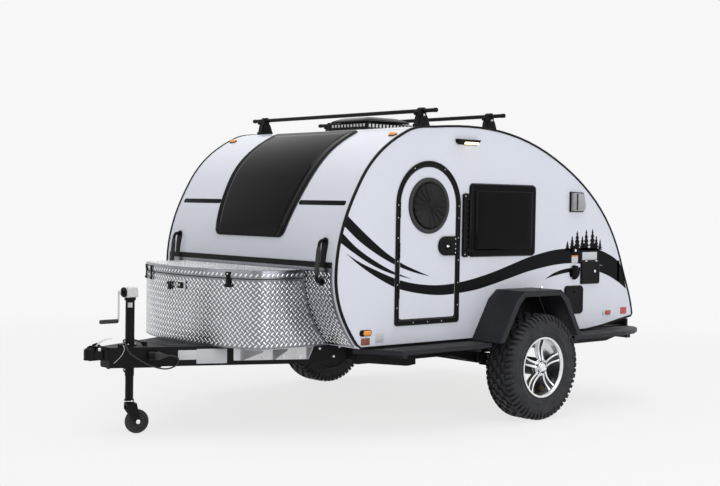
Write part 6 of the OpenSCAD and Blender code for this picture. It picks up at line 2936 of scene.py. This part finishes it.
@dataclass
class Wheel:
    """A cast wheel: deep polished lip, five split spokes, nuts, cap and brake drum."""

    middle: float = 1.1295
    height: float = 0.366
    spokes: int = 5
    first: float = 18.0

    def at(self, high: float = 0.0) -> Point3:
        """The wheel's hub, moved outwards."""
        return (AXLE_X, self.middle + high, self.height)

    def rim(self) -> Shape:
        """The rim's polished lip and barrel.

        Returns:
            The rim's shape.
        """
        profile = [
            (0.1834, 0.056), (0.187, 0.07), (0.1885, 0.086), (0.1895, 0.094), (0.1925, 0.0985),
            (0.1945, 0.1035), (0.1985, 0.105), (0.204, 0.1058), (0.2078, 0.1052),
            (0.208, 0.1025), (0.204, 0.101), (0.199, 0.0985), (0.1938, 0.093), (0.1938, 0.0),
            (0.1938, -0.093), (0.204, -0.101), (0.208, -0.103), (0.2075, -0.1055),
            (0.1985, -0.105), (0.1925, -0.1), (0.189, -0.09), (0.1835, -0.07), (0.182, 0.0),
        ]
        return Shape().turned(profile, self.at(), (0, 1, 0), 120, closed=True)

    def place(self, lean: float, a: float, b: float, high: float) -> Vector:
        """A place on a spoke: a out along it, b across it, high outwards.

        Args:
            lean: The spoke's angle.
            a: The distance out along it.
            b: The distance across it.
            high: The height off it.

        Returns:
            The place.
        """
        way = Vector((math.cos(lean), 0, math.sin(lean)))
        flat = Vector((-math.sin(lean), 0, math.cos(lean)))
        return Vector(self.at(high)) + a * way + b * flat

    def spoke_bars(self) -> Shape:
        """The bright bars of the spokes, two to a spoke.

        Returns:
            The bars' shape.
        """
        shape = Shape()
        for k in range(self.spokes):
            lean = math.radians(360 * k / self.spokes + self.first)
            for side in (-1, 1):
                rings = []
                for j in range(9):
                    t = j / 8
                    a = 0.046 + 0.1395 * t
                    mid = side * (0.0135 + 0.0105 * t ** 1.5)
                    half = 0.0072 + 0.0014 * math.cos(math.pi * t) + (0.0035 if j == 8 else 0.0)
                    face = 0.09 - 0.019 * math.sin(math.pi * min(1.0, t * 0.9)) ** 1.2 + 0.004 * t
                    back = face - 0.03 - 0.006 * t
                    ring = [
                        (-half * 0.8, back), (half * 0.8, back), (half, face - 0.007),
                        (half, face - 0.0022), (half - 0.0022, face), (-half + 0.0022, face),
                        (-half, face - 0.0022), (-half, face - 0.007)
                    ]
                    rings.append([self.place(lean, a, mid + b, high) for b, high in ring])
                shape.loft(rings[::-1])
        return shape

    def spoke_pockets(self) -> Shape:
        """The dark webs between the two bars of each spoke and behind them.

        Returns:
            The webs' shape.
        """
        shape = Shape()
        for k in range(self.spokes):
            lean = math.radians(360 * k / self.spokes + self.first)
            rings = []
            for j in range(9):
                t = j / 8
                a = 0.044 + 0.1425 * t
                half = 0.0165 + 0.0125 * t ** 1.5
                face = 0.079 - 0.019 * math.sin(math.pi * min(1.0, t * 0.9)) ** 1.2
                rings.append(
                    [
                        self.place(lean, a, b, high)
                        for b, high in (
                            (-half, face - 0.024), (half, face - 0.024), (half, face - 0.003),
                            (half * 0.5, face), (-half * 0.5, face), (-half, face - 0.003)
                        )
                    ]
                )
            shape.loft(rings[::-1])
        return shape

    def hub(self) -> Shape:
        """The bright ring of the hub with five nut wells round it."""
        shape = Shape().turned(
            [
                (0.06, 0.052), (0.062, 0.076), (0.061, 0.08), (0.058, 0.0815), (0.056, 0.08),
                (0.0555, 0.074), (0.04, 0.073), (0.0385, 0.056)
            ],
            self.at(), (0, 1, 0), 64, closed=True
        )
        return shape.turned(
            [
                (0.034, 0.072), (0.0345, 0.086), (0.032, 0.09), (0.029, 0.0905), (0.028, 0.089),
                (0.028, 0.072)
            ],
            self.at(), (0, 1, 0), 48, closed=True
        )

    def build(self, side: Side) -> None:
        """Makes one wheel.

        Args:
            side: The trailer's side.
        """
        body = f"wheel_{side}"
        make_piece(f"rim_{side}", side.placed(self.rim()), ALLOY, body, [f"wheel_{side}"], sharp=40)
        make_piece(f"spokes_{side}", side.placed(self.spoke_bars()), ALLOY, body, bevel=0.0012)
        make_piece(f"spoke_pockets_{side}", side.placed(self.spoke_pockets()), DARK_ALLOY, body, bevel=0.001)
        make_piece(f"hub_ring_{side}", side.placed(self.hub()), ALLOY, body, bevel=0.0006)
        wells, nuts = Shape(), Shape()
        wells.turned([(0.056, 0.04), (0.0575, 0.0735), (0.0, 0.0745)], self.at(), (0, 1, 0), 48)
        for k in range(5):
            turn = math.radians(72 * k + self.first + 36)
            spot = Vector(self.at(0.07)) + 0.0465 * Vector((math.cos(turn), 0, math.sin(turn)))
            nuts.turned(
                [(0.0088, 0.0), (0.0092, 0.001), (0.0092, 0.015), (0.007, 0.019), (0.0, 0.0205)], spot,
                (0, 1, 0), 6
            )
            nuts.turned([(0.0115, 0.002), (0.0115, 0.0055), (0.01, 0.0065)], spot, (0, 1, 0), 24)
        cap = Shape().turned(
            [
                (0.029, 0.07), (0.029, 0.096), (0.0275, 0.1), (0.02, 0.1035), (0.018, 0.1035),
                (0.017, 0.102), (0.0, 0.1025)
            ],
            self.at(), (0, 1, 0), 48
        )
        make_piece(f"hub_wells_{side}", side.placed(wells), DARK_ALLOY, body)
        make_piece(f"lug_nuts_{side}", side.placed(nuts), CHROME, body, bevel=0.0006)
        make_piece(f"hub_cap_{side}", side.placed(cap), CHROME, body, bevel=0.0006)
        drum = Shape().turned(
            [
                (0.118, -0.22), (0.127, -0.215), (0.128, -0.16), (0.123, -0.156), (0.12, -0.15),
                (0.07, -0.148), (0.062, -0.13), (0.06, 0.04), (0.05, 0.042)
            ],
            self.at(), (0, 1, 0), 64
        )
        for k in range(5):
            turn = math.radians(72 * k + self.first + 36)
            drum.turned(
                [(0.0065, 0.0), (0.0065, 0.188), (0.005, 0.19)],
                Vector(self.at(-0.1485)) + 0.0465 * Vector((math.cos(turn), 0, math.sin(turn))), (0, 1, 0),
                12
            )
        valve = Shape().turned(
            [(0.0045, 0.0), (0.0045, 0.012), (0.0032, 0.013), (0.0032, 0.026), (0.0022, 0.028)],
            self.place(math.radians(self.first + 36), 0.18, 0.0, 0.062), (0.0, 1.0, 0.0), 12
        )
        make_piece(f"brake_drum_{side}", side.placed(drum), DARK_ALLOY, body, bevel=0.001)
        make_piece(f"valve_{side}", side.placed(valve), RUBBER, body)


@dataclass
class RunningGear:
    """The wheels, the axle, the fenders and the running boards."""

    fender_out: float = 1.22
    board_top: float = 0.551
    outline: tuple[Point2, ...] = (
        (0.427, 0.555), (0.268, 0.828), (0.188, 0.892), (-0.188, 0.892), (-0.268, 0.828), (-0.427, 0.555),
    )

    def build(self) -> None:
        """Makes the running gear."""
        tyre, wheel = Tyre().shape(), Wheel()
        make_piece("tread_left", tyre, TYRE, "wheel_left", ["tyre_left"], sharp=30)
        make_piece("tread_right", tyre.mirrored(), TYRE, "wheel_right", ["tyre_right"], sharp=30)
        for side in Side:
            wheel.build(side)
        dress("axle", POWDER, 0.003)
        dress("fenders", FENDER_COAT, 0.003)
        dress("running_boards", FENDER_COAT, 0.0035)
        self.fender_edges()
        self.wells()
        self.lamps()
        self.board_treads()

    def fender_edges(self) -> None:
        """A folded rim round each fender's opening, with rivets along the wall."""
        points = [(x * 1.0, z) for x, z in self.outline]
        path = [(ahead(x), self.fender_out - 0.003, z - 0.0016) for x, z in points]
        path[0] = (path[0][0] - 0.003, path[0][1], path[0][2] + 0.004)
        path[-1] = (path[-1][0] + 0.003, path[-1][1], path[-1][2] + 0.004)
        shape = Shape().tube(path, 0.003, 10)
        rivets = Shape()
        for (x0, z0), (x1, z1) in zip(self.outline, self.outline[1:]):
            way = Vector((x1 - x0, z1 - z0))
            count = max(1, round(way.length / 0.16))
            out = Vector((way.y, -way.x)).normalized() * -1
            for k in range(count):
                p = Vector((x0, z0)) + way * (k + 0.5) / count
                rivets.screw(
                    (ahead(p.x), WALL_Y + 0.022, p.y), (-out.x if out.y < 0 else out.x, 0, abs(out.y)),
                    0.0052
                )
        make_piece("fender_rims", shape.both(), FENDER_COAT)
        make_piece("fender_rivets", rivets.both(), TRIM)

    def wells(self) -> None:
        """Painted shade in the wheel wells: a dark panel on each wall inside the fender, where the wall lies
        in shade.
        """
        outline = [(x, z) for x, z in self.outline[::-1]]
        shape = Shape().slab(
            anticlockwise(outline), [(0.008, 0.0006), (0.008, 0.0022), (0.0095, 0.003)], on_wall
        )
        # The dark panel stands for the shade behind the tyre: painted shade.
        make_piece("wheel_well_shade_panels", shape.both(), POWDER)

    def lamps(self) -> None:
        """A small bright lamp on the top of each fender."""
        x = ahead(-0.117)
        base = Shape().turned(
            [(0.0135, 0.0), (0.0135, 0.0035), (0.0115, 0.005)], (x, 1.1, 0.8915), (0, 0, 1), 24
        )
        dome = Shape().turned(
            [(0.0105, 0.0), (0.0105, 0.01), (0.0095, 0.015), (0.006, 0.019), (0.0, 0.0205)],
            (x, 1.1, 0.896), (0, 0, 1), 24
        )
        make_piece("fender_lamp_bases", base.both(), TRIM)
        make_piece("fender_lamps", dome.both(), CHROME)

    def board_treads(self) -> None:
        """Grip strips on the running boards, and a rolled edge along each."""
        strips, edges = Shape(), Shape()
        for y in (1.01, 1.045, 1.08, 1.115):
            for x0, x1 in ((0.475, min(1.235, 1.42 - (y - 0.88) * 0.66 - 0.05)), (-0.975, -0.475)):
                strips.slab(
                    rounded(x1 - x0, 0.012, 0.005, 4, ((x0 + x1) / 2, y)),
                    [
                        (0.0, self.board_top - 0.0006), (0.0, self.board_top + 0.001),
                        (0.0015, self.board_top + 0.0019)
                    ],
                    lambda u, v, z: (ahead(u), v, z)
                )
        front = [(0.44, 1.1475), (1.248, 1.1475), (1.426, 0.882)]
        rear = [
            (-0.44, 1.1475), (-0.999, 1.1475), (-1.178, 1.1095), (-1.328, 1.028), (-1.397, 0.949),
            (-1.409, 0.884)
        ]
        for line in (front, rear):
            path = [(ahead(x), y, self.board_top - 0.003) for x, y in line]
            edges.tube(path, 0.0032, 10)
        make_piece("board_grips", strips.both(), RUBBER)
        make_piece("board_edges", edges.both(), FENDER_COAT)


# ---- Rear -------------------------------------------------------------------------------


@dataclass
class Rear:
    """The bumper, its lamps, the galley hatch's fittings and the stabilisers."""

    lamp_y: float = 0.7
    rear_x: float = -1.484

    def build(self) -> None:
        """Makes the rear's fittings."""
        dress("rear_bumper", POWDER, 0.0035)
        dress("tail_lights", RED, 0.003)
        for side in Side:
            dress(f"stabiliser_{side}", POWDER, 0.002)
            dress(f"stabiliser_foot_{side}", ZINC, 0.0012)
        self.lamp_frames()
        self.hatch_fittings()
        self.stabiliser_parts()

    def lamp_frames(self) -> None:
        """A rubber bezel round each tail lamp, its white part and two screws."""
        x = ahead(self.rear_x) + 0.0035
        bezel, white, screws = Shape(), Shape(), Shape()
        for y in (-self.lamp_y, self.lamp_y):
            outer = rounded(0.166, 0.07, 0.008, 4, (y, 0.539))
            bezel.ring_loft(
                [
                    [(x - high, u, v) for u, v in inset(outer, depth)[::-1]]
                    for depth, high in (
                        (0.0, -0.001), (0.0, 0.0035), (0.0015, 0.005), (0.007, 0.005), (0.007, -0.001)
                    )
                ]
            )
            white.slab(
                rounded(0.036, 0.044, 0.004, 3, (y, 0.539)), [(0.0, 0.0), (0.0, 0.0038), (0.001, 0.0046)],
                lambda u, v, high: (x - high + 0.0005, u, v)
            )
            for dy in (-0.06, 0.06):
                screws.screw((x - 0.0036, y + dy, 0.539), (-1, 0, 0), 0.004)
        make_piece("tail_lamp_bezels", bezel, RUBBER)
        make_piece("tail_lamp_clear_parts", white, CLEAR_LENS)
        make_piece("tail_lamp_screws", screws, ZINC)
        bolts = Shape()
        for y in (-0.08, 0.08):
            bolts.turned(
                [(0.0115, 0.0), (0.0115, 0.0016), (0.0105, 0.002), (0.0072, 0.002), (0.0072, 0.0)],
                (x + 0.0006, y, 0.54), (-1, 0, 0), 24
            )
        make_piece("hitch_washers", bolts, ZINC)

    def hatch_fittings(self) -> None:
        """The hatch's hinge, its two handles, seal and a blank plate holder."""
        roof_side, hatch_side = Shape(), Shape()
        pin_x, _, pin_z = next(j for j in frame["joints"] if j["name"] == "galley_hatch_hinge")["pos_m"]
        knuckle = [(0.004, 0.0), (0.0046, 0.0008), (0.0046, 0.0762), (0.004, 0.077)]
        for k in range(23):
            side = hatch_side if k % 2 else roof_side
            side.turned(knuckle, (pin_x, -0.897 + 0.078 * k, pin_z), (0, 1, 0), 12)
        make_piece("hatch_hinge_roof_side", roof_side, TRIM)
        make_piece("hatch_hinge_hatch_side", hatch_side, TRIM, "galley_hatch")

        def on_hatch(s: float) -> Callable[[float, float, float], Sequence[float]]:
            """A sheet on the hatch about a place on the outline: u to the left, v down along it.

            Args:
                s: The place on the outline.

            Returns:
                The sheet, as a function of u, v and the distance out.
            """
            mid = BODY_LINE.point(s)
            rate = 0.01 / (BODY_LINE.point(s + 0.01) - mid).length
            return lambda u, v, out: BODY_LINE.on_skin(s - v * rate, u, out)

        handles, locks = Shape(), Shape()
        for y in (-0.42, 0.42):
            handles.slab(
                rounded(0.15, 0.06, 0.012, 6, (y, 0.0)),
                [(0.0, 0.0006), (0.0, 0.006), (0.0025, 0.009), (0.012, 0.01)], on_hatch(6.55)
            )
            handles.slab(
                rounded(0.11, 0.026, 0.01, 5, (y, -0.01)), [(0.0, 0.0092), (0.0, 0.018), (0.003, 0.022)],
                on_hatch(6.55)
            )
            locks.slab(
                circle(0.009, 20, (y + 0.052, 0.018)), [(0.0, 0.0096), (0.0, 0.0118), (0.0012, 0.0128)],
                on_hatch(6.55)
            )
        plate = Shape().slab(
            rounded(0.32, 0.17, 0.01, 5, (0.0, 0.0)), [(0.0, 0.0006), (0.0, 0.0035), (0.0012, 0.0045)],
            on_hatch(6.3)
        )
        lamp = Shape().slab(
            rounded(0.09, 0.026, 0.01, 5, (0.0, 0.104)), [(0.0, 0.0006), (0.0, 0.016), (0.004, 0.02)],
            on_hatch(6.3)
        )
        marks = Shape()
        for y in (-0.8, 0.0, 0.8):
            marks.slab(
                rounded(0.064, 0.028, 0.013, 6, (y, 0.0)),
                [(0.0, 0.0006), (0.0, 0.009), (0.004, 0.014), (0.009, 0.016)], on_hatch(5.06)
            )
        make_piece("hatch_handles", handles.add(lamp), TRIM, "galley_hatch")
        make_piece("hatch_locks", locks, CHROME, "galley_hatch")
        make_piece("hatch_blank_plate", plate, PLATE_WHITE, "galley_hatch")
        make_piece("hatch_marker_lamps", marks, RED, "galley_hatch")
        line = [BODY_LINE.point(s, -0.012) for s in BODY_LINE.spots(4.8, 6.93, 12)]
        seal = Shape()
        for y in (-0.9128, 0.9128):
            seal.tube([(ahead(q.x), y, q.y) for q in line], 0.0026, 8)
        make_piece("hatch_side_seals", seal, RUBBER)

    def stabiliser_parts(self) -> None:
        """The stabilisers' telescoping sleeve, locking pin, nuts and foot ribs."""
        for side, sign in ((Side.LEFT, 1), (Side.RIGHT, -1)):
            y = 0.7 * sign
            sleeve = Shape()
            for x0, x1 in ((-0.74, -0.732), (-0.72, -0.712)):
                sleeve.block((ahead(x0), y - 0.0205, 0.3985), (ahead(x1), y + 0.0205, 0.4335))
            pins = Shape()
            for x, z, r in ((-0.56, 0.426, 0.0085), (-0.89, 0.414, 0.006), (-0.7, 0.416, 0.0055)):
                for face in (-1, 1):
                    pins.bolt((ahead(x), y + face * 0.0192, z), (0, face, 0), r, 0.005)
            make_piece(f"stabiliser_bands_{side}", sleeve, POWDER, f"stabiliser_{side}", bevel=0.001)
            make_piece(f"stabiliser_pins_{side}", pins, ZINC, f"stabiliser_{side}")
            ribs = Shape().turned(
                [(0.015, 0.3788), (0.04, 0.3792), (0.056, 0.38), (0.06, 0.3812), (0.0618, 0.3795)],
                (ahead(-0.89), y, 0), (0, 0, 1), 40
            )
            make_piece(f"stabiliser_pad_{side}", ribs, ZINC, f"stabiliser_foot_{side}")


# ---- Main -------------------------------------------------------------------------------


def main() -> None:
    """Builds the studio, the cords and every sub-assembly in order."""
    logging.basicConfig(level=logging.INFO, format="%(name)s %(message)s", stream=sys.stdout)
    bpy.context.scene.view_settings.view_transform = "Standard"
    for part in (
        Studio(), Cords(), Body(), Doors(), Windows(), Stripes(), SideFittings(), Roof(),
        StorageBox(), Tongue(), RunningGear(), Rear(),
    ):
        log.info("building %s", type(part).__name__)
        part.build()


if __name__ == "__main__":
    main()
